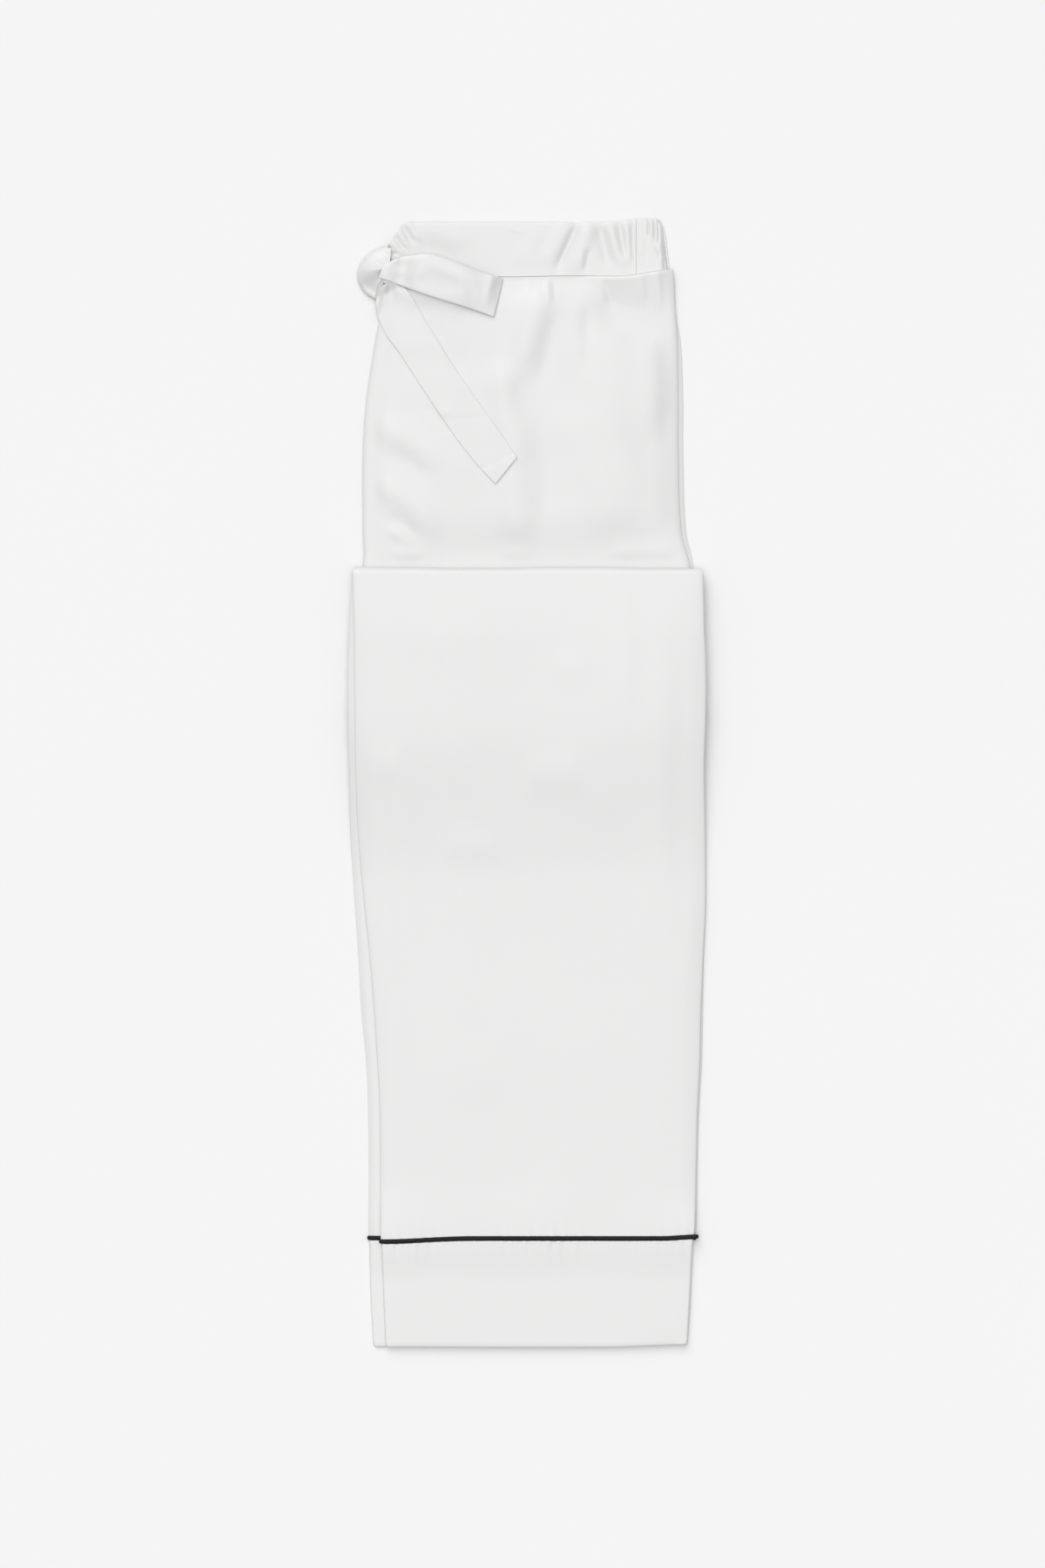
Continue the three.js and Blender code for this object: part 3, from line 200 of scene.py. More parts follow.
@dataclass(frozen=True)
class Crease:
    """One soft ridge, or a trough where its rise is below zero, along a curve bent at its middle."""

    x1: float
    y1: float
    x2: float
    y2: float
    x3: float
    y3: float
    wide: float
    rise: float

    def height(self, x: Array, y: Array, steps: int = 14) -> Array:
        """Bell across the curve's nearest stretch, faded to nothing at both ends.

        Args:
            x: places across.
            y: places along.
            steps: straight stretches that stand for the curve.

        Returns:
            The height that the crease adds at each place.
        """
        t = np.linspace(0, 1, steps + 1)
        cx = (1 - t) ** 2 * self.x1 + 2 * t * (1 - t) * self.x2 + t * t * self.x3
        cy = (1 - t) ** 2 * self.y1 + 2 * t * (1 - t) * self.y2 + t * t * self.y3
        nearest = np.full(np.shape(x), np.inf)
        place = np.zeros(np.shape(x))
        for k in range(steps):
            dx, dy = cx[k + 1] - cx[k], cy[k + 1] - cy[k]
            along = np.clip(((x - cx[k]) * dx + (y - cy[k]) * dy) / (dx * dx + dy * dy), 0, 1)
            gap = np.hypot(x - cx[k] - along * dx, y - cy[k] - along * dy)
            closer = gap < nearest
            nearest = np.where(closer, gap, nearest)
            place = np.where(closer, (k + along) / steps, place)
        fade = smoothstep(place, -0.02, 0.3) * smoothstep(1 - place, -0.02, 0.3)
        return self.rise * fade * np.exp(-((nearest / self.wide) ** 2))


def creased(creases: tuple[Crease, ...], x: Array, y: Array) -> Array:
    """Sum of the creases' heights."""
    total = np.zeros(np.shape(x))
    for crease in creases:
        total = total + crease.height(x, y)
    return total


@dataclass(frozen=True)
class GentleWaves:
    """Slow, uneven swells of cloth: a few sine waves with seeded directions and phases."""

    seed: int
    count: int
    longest: float
    shortest: float
    rise: float

    def height(self, x: Array, y: Array) -> Array:
        """Sum of sines, each sin(kx x + ky y + phase), with longer waves higher.

        Args:
            x: places across.
            y: places along.

        Returns:
            The height at each place, about -rise to rise.
        """
        rng = np.random.default_rng(self.seed)
        total = np.zeros(np.shape(x))
        weight = 0.0
        for _ in range(self.count):
            length = rng.uniform(self.shortest, self.longest)
            angle = rng.uniform(0, math.pi)
            phase = rng.uniform(0, 2 * math.pi)
            share = length / self.longest
            turn = 2 * math.pi / length
            total = total + share * np.sin(turn * (x * math.cos(angle) + y * math.sin(angle)) + phase)
            weight += share * share
        return self.rise * total / math.sqrt(weight)


# Mesh making

def unit(vectors: Array) -> Array:
    """Vectors at length one."""
    return vectors / np.maximum(np.linalg.norm(vectors, axis=-1, keepdims=True), 1e-9)


def tangents(points: Array, axis: int, wrap: bool) -> Array:
    """Mean of the unit steps to both neighbours along one direction of a grid.

    Args:
        points: grid of points, rows by columns by 3.
        axis: 0 along the rows, 1 across the columns.
        wrap: the grid closes on itself in this direction.

    Returns:
        A unit tangent at each point.
    """
    if wrap:
        step = unit(np.roll(points, -1, axis) - points)
        return unit(step + np.roll(step, 1, axis))
    step = unit(np.diff(points, axis=axis))
    first = np.take(step, [0], axis)
    last = np.take(step, [-1], axis)
    return unit(np.concatenate([first, step], axis) + np.concatenate([step, last], axis))


def grid_quads(rows: int, columns: int, wrap_rows: bool = False, wrap_columns: bool = False) -> Array:
    """Corner numbers of the faces of a grid, turned anticlockwise seen from rows x columns."""
    r = np.arange(rows if wrap_rows else rows - 1)
    c = np.arange(columns if wrap_columns else columns - 1)
    i, j = np.meshgrid(r, c, indexing="ij")
    i2, j2 = (i + 1) % rows, (j + 1) % columns
    corners = [i * columns + j, i * columns + j2, i2 * columns + j2, i2 * columns + j]
    return np.stack(corners, -1).reshape(-1, 4)


def by_row(values: Array, grid: Array) -> Array:
    """One value for each row, spread over the columns of a grid."""
    return np.broadcast_to(values[:, None], grid.shape)


def add_mesh(name: str, vertices: Array, quads: Array, uv: Array | None = None) -> bpy.types.Object:
    """Puts a mesh of quads, in millimetres, into the scene with its faces turned outwards.

    Args:
        name: the piece's name.
        vertices: points in millimetres.
        quads: corner numbers, four to a face.
        uv: millimetres across and along the cloth at each vertex, kept as the UV map "cloth" in metres.

    Returns:
        The new object, at the origin.
    """
    corners = vertices[quads]
    normal = np.cross(corners[:, 2] - corners[:, 0], corners[:, 3] - corners[:, 1])
    volume = np.einsum("ij,ij->", corners.mean(axis=1), normal)
    if volume < 0:
        quads = quads[:, ::-1]
    mesh = bpy.data.meshes.new(name)
    mesh.vertices.add(len(vertices))
    mesh.vertices.foreach_set("co", (vertices * MM).astype(np.float32).ravel())
    mesh.loops.add(quads.size)
    mesh.loops.foreach_set("vertex_index", quads.astype(np.int32).ravel())
    mesh.polygons.add(len(quads))
    mesh.polygons.foreach_set("loop_start", np.arange(0, quads.size, 4, dtype=np.int32))
    mesh.polygons.foreach_set("loop_total", np.full(len(quads), 4, dtype=np.int32))
    mesh.polygons.foreach_set("use_smooth", np.ones(len(quads), dtype=bool))
    if uv is not None:
        layer = mesh.uv_layers.new(name="cloth")
        layer.data.foreach_set("uv", (uv[quads.ravel()] * MM).astype(np.float32).ravel())
    mesh.update(calc_edges=True)
    mesh.validate()
    made = bpy.data.objects.new(name, mesh)
    bpy.context.scene.collection.objects.link(made)
    return made


def rim_share(row: int, count: int) -> float:
    """Share of the full thickness at one row of an edge that is rounded over count rows."""
    return math.sqrt(1 - (1 - (row + RIM_START) / (count + RIM_START)) ** 2)


def cloth_lengths(middle: Array) -> Array:
    """Millimetres across from the middle column, and along from the first row, measured on the cloth.

    Args:
        middle: grid of points.

    Returns:
        Grid of the two lengths.
    """
    across = np.linalg.norm(np.diff(middle, axis=1), axis=-1)
    along = np.linalg.norm(np.diff(middle, axis=0), axis=-1)
    u = np.concatenate([np.zeros((len(middle), 1)), np.cumsum(across, axis=1)], axis=1)
    u = u - u[:, [u.shape[1] // 2]]
    v = np.concatenate([np.zeros((1, middle.shape[1])), np.cumsum(along, axis=0)], axis=0)
    return np.stack([u, np.broadcast_to(v.mean(axis=1, keepdims=True), u.shape)], -1)


def cloth_shell(
    name: str, middle: Array, thick: float, wrap: bool = False, rims: tuple[int, int] = (2, 2)
) -> bpy.types.Object:
    """Closed wall of cloth: its middle surface moved out and in along its normal by half its thickness.

    The outer rows and columns are thinner, so that every edge is rounded. The UV map holds the lengths
    measured on the cloth.

    Args:
        name: the piece's name.
        middle: grid of middle points, rows by columns by 3.
        thick: the cloth's thickness.
        wrap: the columns close on themselves, as round a tube.
        rims: how many end rows and edge columns are rounded.

    Returns:
        The new object.
    """
    rows, columns = middle.shape[:2]
    normal = unit(np.cross(tangents(middle, 0, False), tangents(middle, 1, wrap)))
    share = np.ones((rows, columns))
    for k in range(rims[0]):
        share[[k, -1 - k], :] *= rim_share(k, rims[0])
    if not wrap:
        for k in range(rims[1]):
            share[:, [k, -1 - k]] *= rim_share(k, rims[1])
    half = normal * (thick * share / 2)[..., None]
    count = rows * columns
    vertices = np.concatenate([(middle + half).reshape(-1, 3), (middle - half).reshape(-1, 3)])
    face = grid_quads(rows, columns, wrap_columns=wrap)
    index = np.arange(count).reshape(rows, columns)
    if wrap:
        borders = [np.append(index[0], index[0, 0]), np.append(index[-1], index[-1, 0])[::-1]]
    else:
        around = [index[0, :-1], index[:-1, -1], index[-1, :0:-1], index[:0:-1, 0], index[:1, 0]]
        borders = [np.concatenate(around)]
    sides = [np.stack([b[1:], b[:-1], b[:-1] + count, b[1:] + count], -1) for b in borders]
    quads = np.concatenate([face, face[:, ::-1] + count, *sides])
    uv = cloth_lengths(middle).reshape(-1, 2)
    return add_mesh(name, vertices, quads, np.concatenate([uv, uv]))


def closed_tube(name: str, rings: Array, uv: Array) -> bpy.types.Object:
    """Ring of sections closed in both directions, such as a cord sewn round a leg."""
    rows, columns = rings.shape[:2]
    quads = grid_quads(rows, columns, wrap_rows=True, wrap_columns=True)
    return add_mesh(name, rings.reshape(-1, 3), quads, uv.reshape(-1, 2))


# Shader tools

Number = float | int


class Socket:
    """A node socket whose sums and products add Math nodes."""

    def __init__(self, tree: "NodeBook", socket: bpy.types.NodeSocket) -> None:
        """Wraps one output socket of a material's tree."""
        self.tree = tree
        self.socket = socket

    def _math(self, operation: str, first: "Socket | Number", second: "Socket | Number") -> "Socket":
        """Adds one Math node and returns its result."""
        node = self.tree.node("ShaderNodeMath", {"operation": operation}, {0: first, 1: second})
        return Socket(self.tree, node.outputs[0])

    def __add__(self, other: "Socket | Number") -> "Socket":
        """self + other."""
        return self._math("ADD", self, other)

    def __radd__(self, other: "Socket | Number") -> "Socket":
        """other + self."""
        return self._math("ADD", other, self)

    def __sub__(self, other: "Socket | Number") -> "Socket":
        """self - other."""
        return self._math("SUBTRACT", self, other)

    def __rmul__(self, other: "Socket | Number") -> "Socket":
        """other * self."""
        return self._math("MULTIPLY", other, self)


class NodeBook:
    """Adds nodes to one new material."""

    def __init__(self, name: str) -> None:
        """Starts an empty node material."""
        self.material = bpy.data.materials.new(name)
        self.material.use_nodes = True
        self.nodes = self.material.node_tree.nodes
        self.links = self.material.node_tree.links
        self.nodes.clear()

    def node(self, kind: str, settings: dict | None = None, inputs: dict | None = None) -> bpy.types.Node:
        """Adds a node, sets it, then fills its sockets.

        Args:
            kind: the node's type.
            settings: attributes set before the sockets.
            inputs: socket name or number to a value, a Socket or an output socket.

        Returns:
            The new node.
        """
        made = self.nodes.new(kind)
        for key, value in (settings or {}).items():
            setattr(made, key, value)
        for key, value in (inputs or {}).items():
            source = value.socket if isinstance(value, Socket) else value
            if isinstance(source, bpy.types.NodeSocket):
                self.links.new(source, made.inputs[key])
            else:
                made.inputs[key].default_value = source
        return made

    def value(self, node: bpy.types.Node, output: str | int = 0) -> Socket:
        """One output of a node as a value for expressions."""
        return Socket(self, node.outputs[output])

    def noise(self, place: bpy.types.NodeSocket, scale: tuple[float, float, float], detail: float) -> Socket:
        """Noise from 0 to 1 on a stretched copy of a position."""
        moved = self.node("ShaderNodeMapping", {}, {"Vector": place, "Scale": scale})
        inputs = {"Vector": moved.outputs[0], "Scale": 1.0, "Detail": detail}
        return self.value(self.node("ShaderNodeTexNoise", {}, inputs), "Fac")

    def tint(self, share: Socket, dark: tuple[float, ...], light: tuple[float, ...]) -> bpy.types.NodeSocket:
        """Colour mixed from dark to light."""
        made = self.node("ShaderNodeMix", {"data_type": "RGBA"}, {0: share, 6: (*dark, 1), 7: (*light, 1)})
        return made.outputs[2]

    def finish(self, shader: dict, height: Socket | None, bump: float, reach: float) -> bpy.types.Material:
        """Ends the tree with a Principled shader and, where there is a height, a bump.

        Args:
            shader: inputs of the Principled shader.
            height: relief in metres.
            bump: strength of the relief.
            reach: distance that the relief's value of one stands for.

        Returns:
            The finished material.
        """
        inputs = dict(shader)
        if height is not None:
            made = self.node("ShaderNodeBump", {}, {"Strength": bump, "Distance": reach, "Height": height})
            inputs["Normal"] = made.outputs[0]
        surface = self.node("ShaderNodeBsdfPrincipled", {}, inputs)
        self.node("ShaderNodeOutputMaterial", {}, {"Surface": surface.outputs[0]})
        return self.material


@dataclass(frozen=True)
class SatinFinish:
    """Satin weave: long floats along the cloth, a soft even sheen and faint mottling."""

    name: str
    dark: tuple[float, float, float]
    light: tuple[float, float, float]
    roughness: float
    sheen: float
    thread_pitch: float = 0.32
    float_length: float = 2.2
    relief: float = 0.25
    gloss: float = 0.9
    rib_scale: tuple[float, float] = (0.35, 0.06)
    mottle_scale: tuple[float, float, float] = (14, 9, 14)
    mottle_shade: float = 0.55
    rib_shade: float = 0.25
    float_shade: float = 0.2
    float_relief: float = 0.7
    mottle_roughness: float = 0.08
    float_roughness: float = 0.05
    sheen_roughness: float = 0.4
    relief_reach: float = 0.00012

    def make(self) -> bpy.types.Material:
        """Builds the material from the UV map "cloth", so that the weave follows the cloth.

        Returns:
            The material.
        """
        book = NodeBook(self.name)
        uv = book.node("ShaderNodeUVMap", {"uv_map": "cloth"}).outputs[0]
        place = book.node("ShaderNodeTexCoord").outputs["Object"]
        thread = 1 / (self.thread_pitch * MM)
        slub = 1 / (self.float_length * MM)
        floats = book.noise(uv, (thread, slub, 1), 1.0)
        ribs = book.noise(uv, (thread * self.rib_scale[0], slub * self.rib_scale[1], 1), 2.0)
        mottle = book.noise(place, self.mottle_scale, 2.0)
        shade = self.mottle_shade * mottle + self.rib_shade * ribs + self.float_shade * floats
        height = self.float_relief * floats + (1 - self.float_relief) * ribs
        uneven = self.mottle_roughness * (mottle - 0.5)
        return book.finish(
            {
                "Base Color": book.tint(shade, self.dark, self.light),
                "Roughness": self.roughness + uneven + self.float_roughness * (floats - 0.5),
                "Sheen Weight": self.sheen,
                "Sheen Roughness": self.sheen_roughness,
                "Specular IOR Level": self.gloss,
            },
            height,
            self.relief,
            self.relief_reach,
        )


@dataclass(frozen=True)
class FloorFinish:
    """Plain pale paper with a very faint grain."""

    name: str
    grey: float
    grain: float = 0.002
    grain_scale: float = 3.0
    roughness: float = 0.9
    gloss: float = 0.1

    def make(self) -> bpy.types.Material:
        """Builds a matt, even floor.

        Returns:
            The material.
        """
        book = NodeBook(self.name)
        place = book.node("ShaderNodeTexCoord").outputs["Object"]
        grain = book.noise(place, (self.grain_scale,) * 3, 1.0)
        colour = book.tint(grain, (self.grey - self.grain,) * 3, (self.grey + self.grain,) * 3)
        shader = {"Base Color": colour, "Roughness": self.roughness, "Specular IOR Level": self.gloss}
        return book.finish(shader, None, 0, 1)


class Slot(Enum):
    """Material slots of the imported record."""

    SATIN = "satin"
    PIPING = "piping"


@dataclass
class Wardrobe:
    """The finishes, made once and shared by the pieces."""

    satin: SatinFinish = SatinFinish(
        "white_satin", dark=(0.639, 0.639, 0.636), light=(0.669, 0.669, 0.666), roughness=0.4, sheen=0.06
    )
    sash: SatinFinish = SatinFinish(
        "sash_satin", dark=(0.635, 0.635, 0.632), light=(0.665, 0.665, 0.662), roughness=0.4, sheen=0.06
    )
    piping: SatinFinish = SatinFinish(
        "black_piping", dark=(0.004, 0.004, 0.005), light=(0.009, 0.009, 0.01), roughness=0.55, sheen=0.0,
        thread_pitch=0.3, float_length=1.2, relief=0.5, gloss=0.2,
    )
    thread: SatinFinish = SatinFinish(
        "white_thread", dark=(0.7, 0.7, 0.7), light=(0.78, 0.78, 0.78), roughness=0.6, sheen=0.0,
        thread_pitch=0.15, float_length=0.3, relief=0.3,
    )
    made: dict[str, bpy.types.Material] = field(default_factory=dict)

    def dress(self, piece: bpy.types.Object, finish: SatinFinish, slot: Slot) -> bpy.types.Object:
        """Gives a piece its finish and its ride on the one body.

        Args:
            piece: the object to dress.
            finish: one of the wardrobe's finishes.
            slot: the record's slot; not used.

        Returns:
            The same object.
        """
        if finish.name not in self.made:
            self.made[finish.name] = finish.make()
        piece.data.materials.clear()
        piece.data.materials.append(self.made[finish.name])
        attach(piece, "root")
        LOG.info("%s: %d faces", piece.name, len(piece.data.polygons))
        return piece


# The route of the folded stack

@dataclass
class Route:
    """Places along the folded stack: where its middle is and which way it heads, in the YZ plane.

    body, fold and leg say how far each place belongs to the body, the upper turn and the leg, 0 to 1.
    """

    y: Array
    z: Array
    heading: Array
    body: Array
    fold: Array
    leg: Array

    def place(self, x: Array, w: Array, shift: Array | float = 0.0) -> Array:
        """Points at x across and w square to the route, moved by shift along y.

        Args:
            x: rows by columns, across the garment.
            w: rows by columns, height over the stack's middle.
            shift: movement along y.

        Returns:
            Grid of points.
        """
        ny, nz = np.sin(self.heading)[:, None], -np.cos(self.heading)[:, None]
        return np.stack([x, self.y[:, None] + ny * w + shift, self.z[:, None] + nz * w], -1)


@dataclass(frozen=True)
class FoldPlan:
    """Sizes of the fold: the stretches of the stack, their turns and the drape to the table."""

    turn_radius: float = HALF_STACK + STRETCH_GAP / 2
    drape_start: float = TUCK_EDGE
    drape_run: float = 135.0
    turn_steps: int = 12
    piping_lift: float = 2.5
    piping_rise_run: float = 42.0

    def drape(self, y: Array) -> Array:
        """Height of the leg's middle: level on the fold, then eased down to the table."""
        high = HALF_STACK + 4 * self.turn_radius
        return lerp(high, HALF_STACK, smoothstep(self.drape_start - y, 0, self.drape_run))

    def lift(self, y: Array) -> Array:
        """Rise of the near layers towards the thick piping seam."""
        run = self.piping_rise_run
        return self.piping_lift * smoothstep(run - (y - LEG_END), 0, run)

    def route(self, body_rows: Array, leg_rows: Array) -> Route:
        """Body to the lower turn, back up to the upper turn, then over and down the leg.

        Each turn is a half circle whose heading runs evenly; the leg heads along its drape's slope.

        Args:
            body_rows: heights y of the body's rows, falling.
            leg_rows: heights y of the leg's rows, falling.

        Returns:
            The route's places in order.
        """
        r, low = self.turn_radius, HALF_STACK
        lower_y = TUCK_EDGE + r + HALF_STACK
        upper_y = FOLD_EDGE - r - HALF_STACK
        t = np.linspace(0, 1, self.turn_steps + 1)
        down, up = math.pi * (1 - t), math.pi * t
        slope = self.drape(leg_rows + 0.5) - self.drape(leg_rows - 0.5)
        parts = [
            (body_rows, np.full_like(body_rows, low), np.full_like(body_rows, math.pi), 1.0, 0.0, 0.0),
            (lower_y - r * np.sin(down), low + r + r * np.cos(down), down, 1 - t, 0.0, 0.0),
            (upper_y + r * np.sin(up), low + 3 * r - r * np.cos(up), up, 0.0, np.sin(up), 0.0),
            (leg_rows, self.drape(leg_rows), math.pi + np.arctan(slope), 0.0, 0.0, 1.0),
        ]
        columns = [np.concatenate([np.broadcast_to(p[k], p[0].shape) for p in parts]) for k in range(6)]
        return Route(*columns)


def panel_columns(
    left: Array, right: Array, count: int, edge: tuple[float, ...]
) -> tuple[Array, Array, Array]:
    """Places across a panel: fine fixed steps at both edges and even ones between.

    Args:
        left: left edge of each row.
        right: right edge of each row.
        count: even steps between the fine ones.
        edge: distances of the fine columns from the edge, the first one 0.

    Returns:
        x, and the distances from the left and from the right edge, each rows by columns.
    """
    fine = np.array(edge)
    width = (right - left)[:, None]
    even = lerp(fine[-1], width - fine[-1], np.linspace(0, 1, count + 1)[None, :])
    fine_rows = np.broadcast_to(fine, (len(left), len(fine)))
    inside = np.concatenate([fine_rows[:, :-1], even, width - fine_rows[:, -2::-1]], axis=1)
    return left[:, None] + inside, inside, width - inside


def edge_spaced(length: float, count: int, edge: tuple[float, ...]) -> Array:
    """Places from 0 to a length: fine fixed steps at both ends and even ones between."""
    fine = np.array(edge)
    even = np.linspace(fine[-1], length - fine[-1], count + 1)
    return np.concatenate([fine[:-1], even, length - fine[-2::-1]])


def rounded_drop(distance: Array, radius: float) -> Array:
    """Quarter circle: 1 at the edge, 0 from the radius inwards."""
    t = np.clip(1 - distance / radius, 0, 1)
    return 1 - np.sqrt(np.clip(1 - t * t, 0, 1))


# Fine steps in from a rolled side edge and from a seam, and half the gap left at a sewn seam
EDGE_STEPS = (0.0, 0.12, 0.35, 0.75, 1.3, 2.0, 3.0, 4.2, 5.6)
SEAM_STEPS = (0.0, 0.1, 0.24, 0.5, 1.0)
SEAM_HALF_GAP = 0.05


@dataclass
class BodyForm:
    """Upper face of the body stretch: its loft, its creases and what is sewn to it.

    A run is the distance over which a form grows to its full height, and a span is where it starts and
    ends: gather_span and side_span across the garment, middle_run from the side edge, fold_run from the fold.
    """

    edge_loft: float = 1.7
    edge_run: float = 20.0
    loft: float = 1.5
    creases: tuple[Crease, ...] = (
        # Long fold from the seam's crease down to the fold edge
        Crease(14, 376, 3, 342, -11, 296, 11.5, 2.3),
        Crease(-13, 318, -28, 282, 1, 236, 11.5, 2.2),
        Crease(-10, 262, -12, 220, -5, 166, 13, 1.8),
        Crease(26, 362, 16, 320, 8, 290, 7, -0.8),
        Crease(6, 282, 20, 252, 10, 172, 8, -0.8),
        # Broad swell at the right
        Crease(58, 345, 66, 255, 64, 172, 27, 2.2),
        Crease(44, 362, 45, 332, 45, 300, 4.5, -0.7),
        Crease(86, 335, 96, 306, 90, 250, 10, 1.1),
        # Arcs at the lower left
        Crease(-118, 262, -88, 268, -58, 226, 10, 1.5),
        Crease(-112, 243, -86, 244, -70, 220, 7, -0.6),
        Crease(-116, 216, -90, 226, -62, 176, 10, 1.7),
        Crease(-110, 198, -92, 198, -80, 174, 6, -0.6),
        Crease(-106, 186, -92, 190, -84, 172, 4.5, 1.0),
        # Slack beside the tail of the sash
        Crease(-92, 370, -68, 363, -38, 355, 10, 1.7),
        Crease(-74, 346, -58, 328, -46, 296, 7, -0.8),
        Crease(-70, 292, -52, 262, -42, 214, 12, 0.9),
        Crease(-76, 284, -66, 272, -56, 256, 3.5, -0.6),
        # Puffs at the fold edge
        Crease(-100, 166, -89, 171, -76, 167, 6, 0.8),
        Crease(-24, 167, -8, 171, 6, 167, 7, 0.6),
        Crease(54, 168, 90, 174, 124, 168, 8, 0.8),
    )
    tucks: tuple[Crease, ...] = (
        Crease(15, 376, 16, 366, 19, 352, 1.8, 0.7),
        Crease(20.5, 376, 20, 366, 17, 350, 1.6, -0.5),
        Crease(52, 376, 54, 368, 58, 358, 1.8, 0.5),
        Crease(57, 376, 60, 366, 66, 352, 1.8, -0.5),
        Crease(84, 380, 84, 370, 86, 356, 1.6, 0.5),
        Crease(90, 380, 91, 368, 92, 352, 1.8, -0.5),
        Crease(97, 381, 98, 366, 100, 346, 1.6, 0.6),
        Crease(102, 381, 103, 366, 105, 346, 1.5, -0.4),
        Crease(-40, 376, -40, 368, -38, 358, 2.2, 0.35),
        Crease(2, 376, 1, 368, 0, 360, 1.6, 0.35),
    )
    swells: GentleWaves = GentleWaves(11, 9, 90, 26, 0.22)
    seam_height: float = 1.2
    crest: float = 2.6
    crest_run: float = 25.0
    side_crest_run: float = 9.0
    gather_span: tuple[float, float] = (38, 66)
    side_span: tuple[float, float] = (62, 100)
    middle_run: tuple[float, float] = (4, 60)
    fold_run: tuple[float, float] = (1, 50)
    crease_run: float = 14.0
    seam_run: float = 26.0
    floor_softness: float = 0.1

    def inside(self, x: Array, y: Array) -> Array:
        """Distance to the nearer side edge."""
        return np.minimum(x - BODY_EDGES.read("left", y), BODY_EDGES.read("right", y) - x)

    def base(self, x: Array, y: Array) -> Array:
        """Loft over the hidden layers, none at the edges and at the fold."""
        inside = self.inside(x, y)
        side = self.edge_loft * smoothstep(inside, 0, self.edge_run)
        side = side + self.loft * smoothstep(inside, *self.middle_run)
        return side * smoothstep(y, FOLD_EDGE + self.fold_run[0], FOLD_EDGE + self.fold_run[1])

    def gathered(self, x: Array) -> Array:
        """Share of the elastic's gathers, all at the side seam and none at the centre front."""
        return smoothstep(x, *self.gather_span)

    def fall_run(self, x: Array) -> Array:
        """How far below the band the gathers fall away."""
        return self.crest_run + self.side_crest_run * smoothstep(x, *self.side_span)

    def lofted(self, x: Array, y: Array) -> Array:
        """The loft as it starts below the band: soon at the centre front, later under the gathers."""
        below = BAND_SEAM - y
        early = smoothstep(below, 0, 12 + 14 * smoothstep(x, -60, -20))
        fall = self.fall_run(x)
        late = smoothstep(below, fall - 6, fall + 34)
        return self.base(x, y) * lerp(early, late, self.gathered(x))

    def rise(self, x: Array, y: Array) -> Array:
        """Loft, creases, swells and the lift to the band seam, never under the flat stack.

        Args:
            x: places across.
            y: places along.

        Returns:
            Height of the panel over its flat place.
        """
        inside = self.inside(x, y)
        below = BAND_SEAM - y
        clear = smoothstep(inside, 1, self.crease_run)
        clear = clear * smoothstep(y, FOLD_EDGE + 2, FOLD_EDGE + self.crease_run)
        seam = smoothstep(below, 0, 2.6)
        soft = (creased(self.creases, x, y) + self.swells.height(x, y)) * seam
        soft = soft + creased(self.tucks, x, y) * smoothstep(below, 0, 2)
        flat = self.seam_height * smoothstep(y, BAND_SEAM - self.seam_run, BAND_SEAM)
        crest = smoothstep(below, 0, 1.2) * (1 - np.clip(below / self.fall_run(x), 0, 1)) ** 2
        soft = soft + self.crest * self.gathered(x) * crest
        total = self.lofted(x, y) + soft * clear + flat
        return np.logaddexp(total / self.floor_softness, 0) * self.floor_softness


@dataclass
class LegForm:
    """Upper face of the leg stretch: slow swells, soft creases, and puckers beside the piping.

    cuff_calm and fold_calm are where the swells fade at the two ends; edge_share is the part of their
    height that is reached over edge_run from the side, and the rest follows over middle_run.
    """

    swells: GentleWaves = GentleWaves(5, 8, 170, 60, 0.35)
    creases: tuple[Crease, ...] = (
        Crease(-60, 150, -30, 60, -64, -20, 26, 0.8),
        Crease(50, 140, 62, 40, 44, -60, 30, 0.7),
        Crease(-92, 60, -96, -40, -88, -180, 12, 0.6),
        Crease(98, 120, 104, 10, 96, -140, 14, 0.6),
        Crease(-70, -120, -40, -220, -62, -320, 22, 0.5),
        Crease(30, -150, 52, -240, 36, -325, 24, 0.5),
        Crease(18, 86, 32, 84, 48, 88, 11, 0.6),
        Crease(-6, 8, 20, 6, 48, 10, 15, 0.7),
        Crease(-122, 16, -108, 12, -90, 16, 12, 0.6),
        Crease(-66, -44, -40, -50, -16, -46, 12, 0.6),
        Crease(-86, -214, -50, -222, -6, -214, 22, 0.6),
        Crease(70, 132, 77, 90, 72, 48, 9, 0.6),
    )
    pucker_rise: float = 0.75
    pucker_reach: float = 7.0
    pucker_edge: float = 8.0
    slack: float = 2.0
    cuff_calm: float = 40.0
    fold_calm: tuple[float, float] = (120, 152)
    edge_share: float = 0.45
    edge_run: float = 12.0
    middle_run: tuple[float, float] = (2, 34)

    def puckers(self, x: Array, y: Array) -> Array:
        """Small gathers square to the piping: uneven waves across, fading away from the seam."""
        wave = np.sin(x * 1.02 + 1.3 * np.sin(x * 0.13))
        wave = wave + 0.6 * np.sin(x * 0.63 + 2 * np.sin(x * 0.07) + 1)
        patch = 0.55 + 0.45 * np.sin(x * 0.055 + 0.6)
        return self.pucker_rise * patch * wave * np.exp(-np.abs(y - PIPING_LINE) / self.pucker_reach)

    def rise(self, x: Array, y: Array, inside: Array) -> Array:
        """Height over the flat place, faded towards the side edges."""
        slow = self.swells.height(x, y) + creased(self.creases, x, y) + self.slack
        calm = smoothstep(y, LEG_END, LEG_END + self.cuff_calm) * (1 - smoothstep(y, *self.fold_calm))
        side = self.edge_share * smoothstep(inside, 0, self.edge_run)
        side = side + (1 - self.edge_share) * smoothstep(inside, *self.middle_run)
        puckers = self.puckers(x, y) * smoothstep(inside, 0, self.pucker_edge)
        return np.maximum(slow, 0.0) * calm * side + puckers


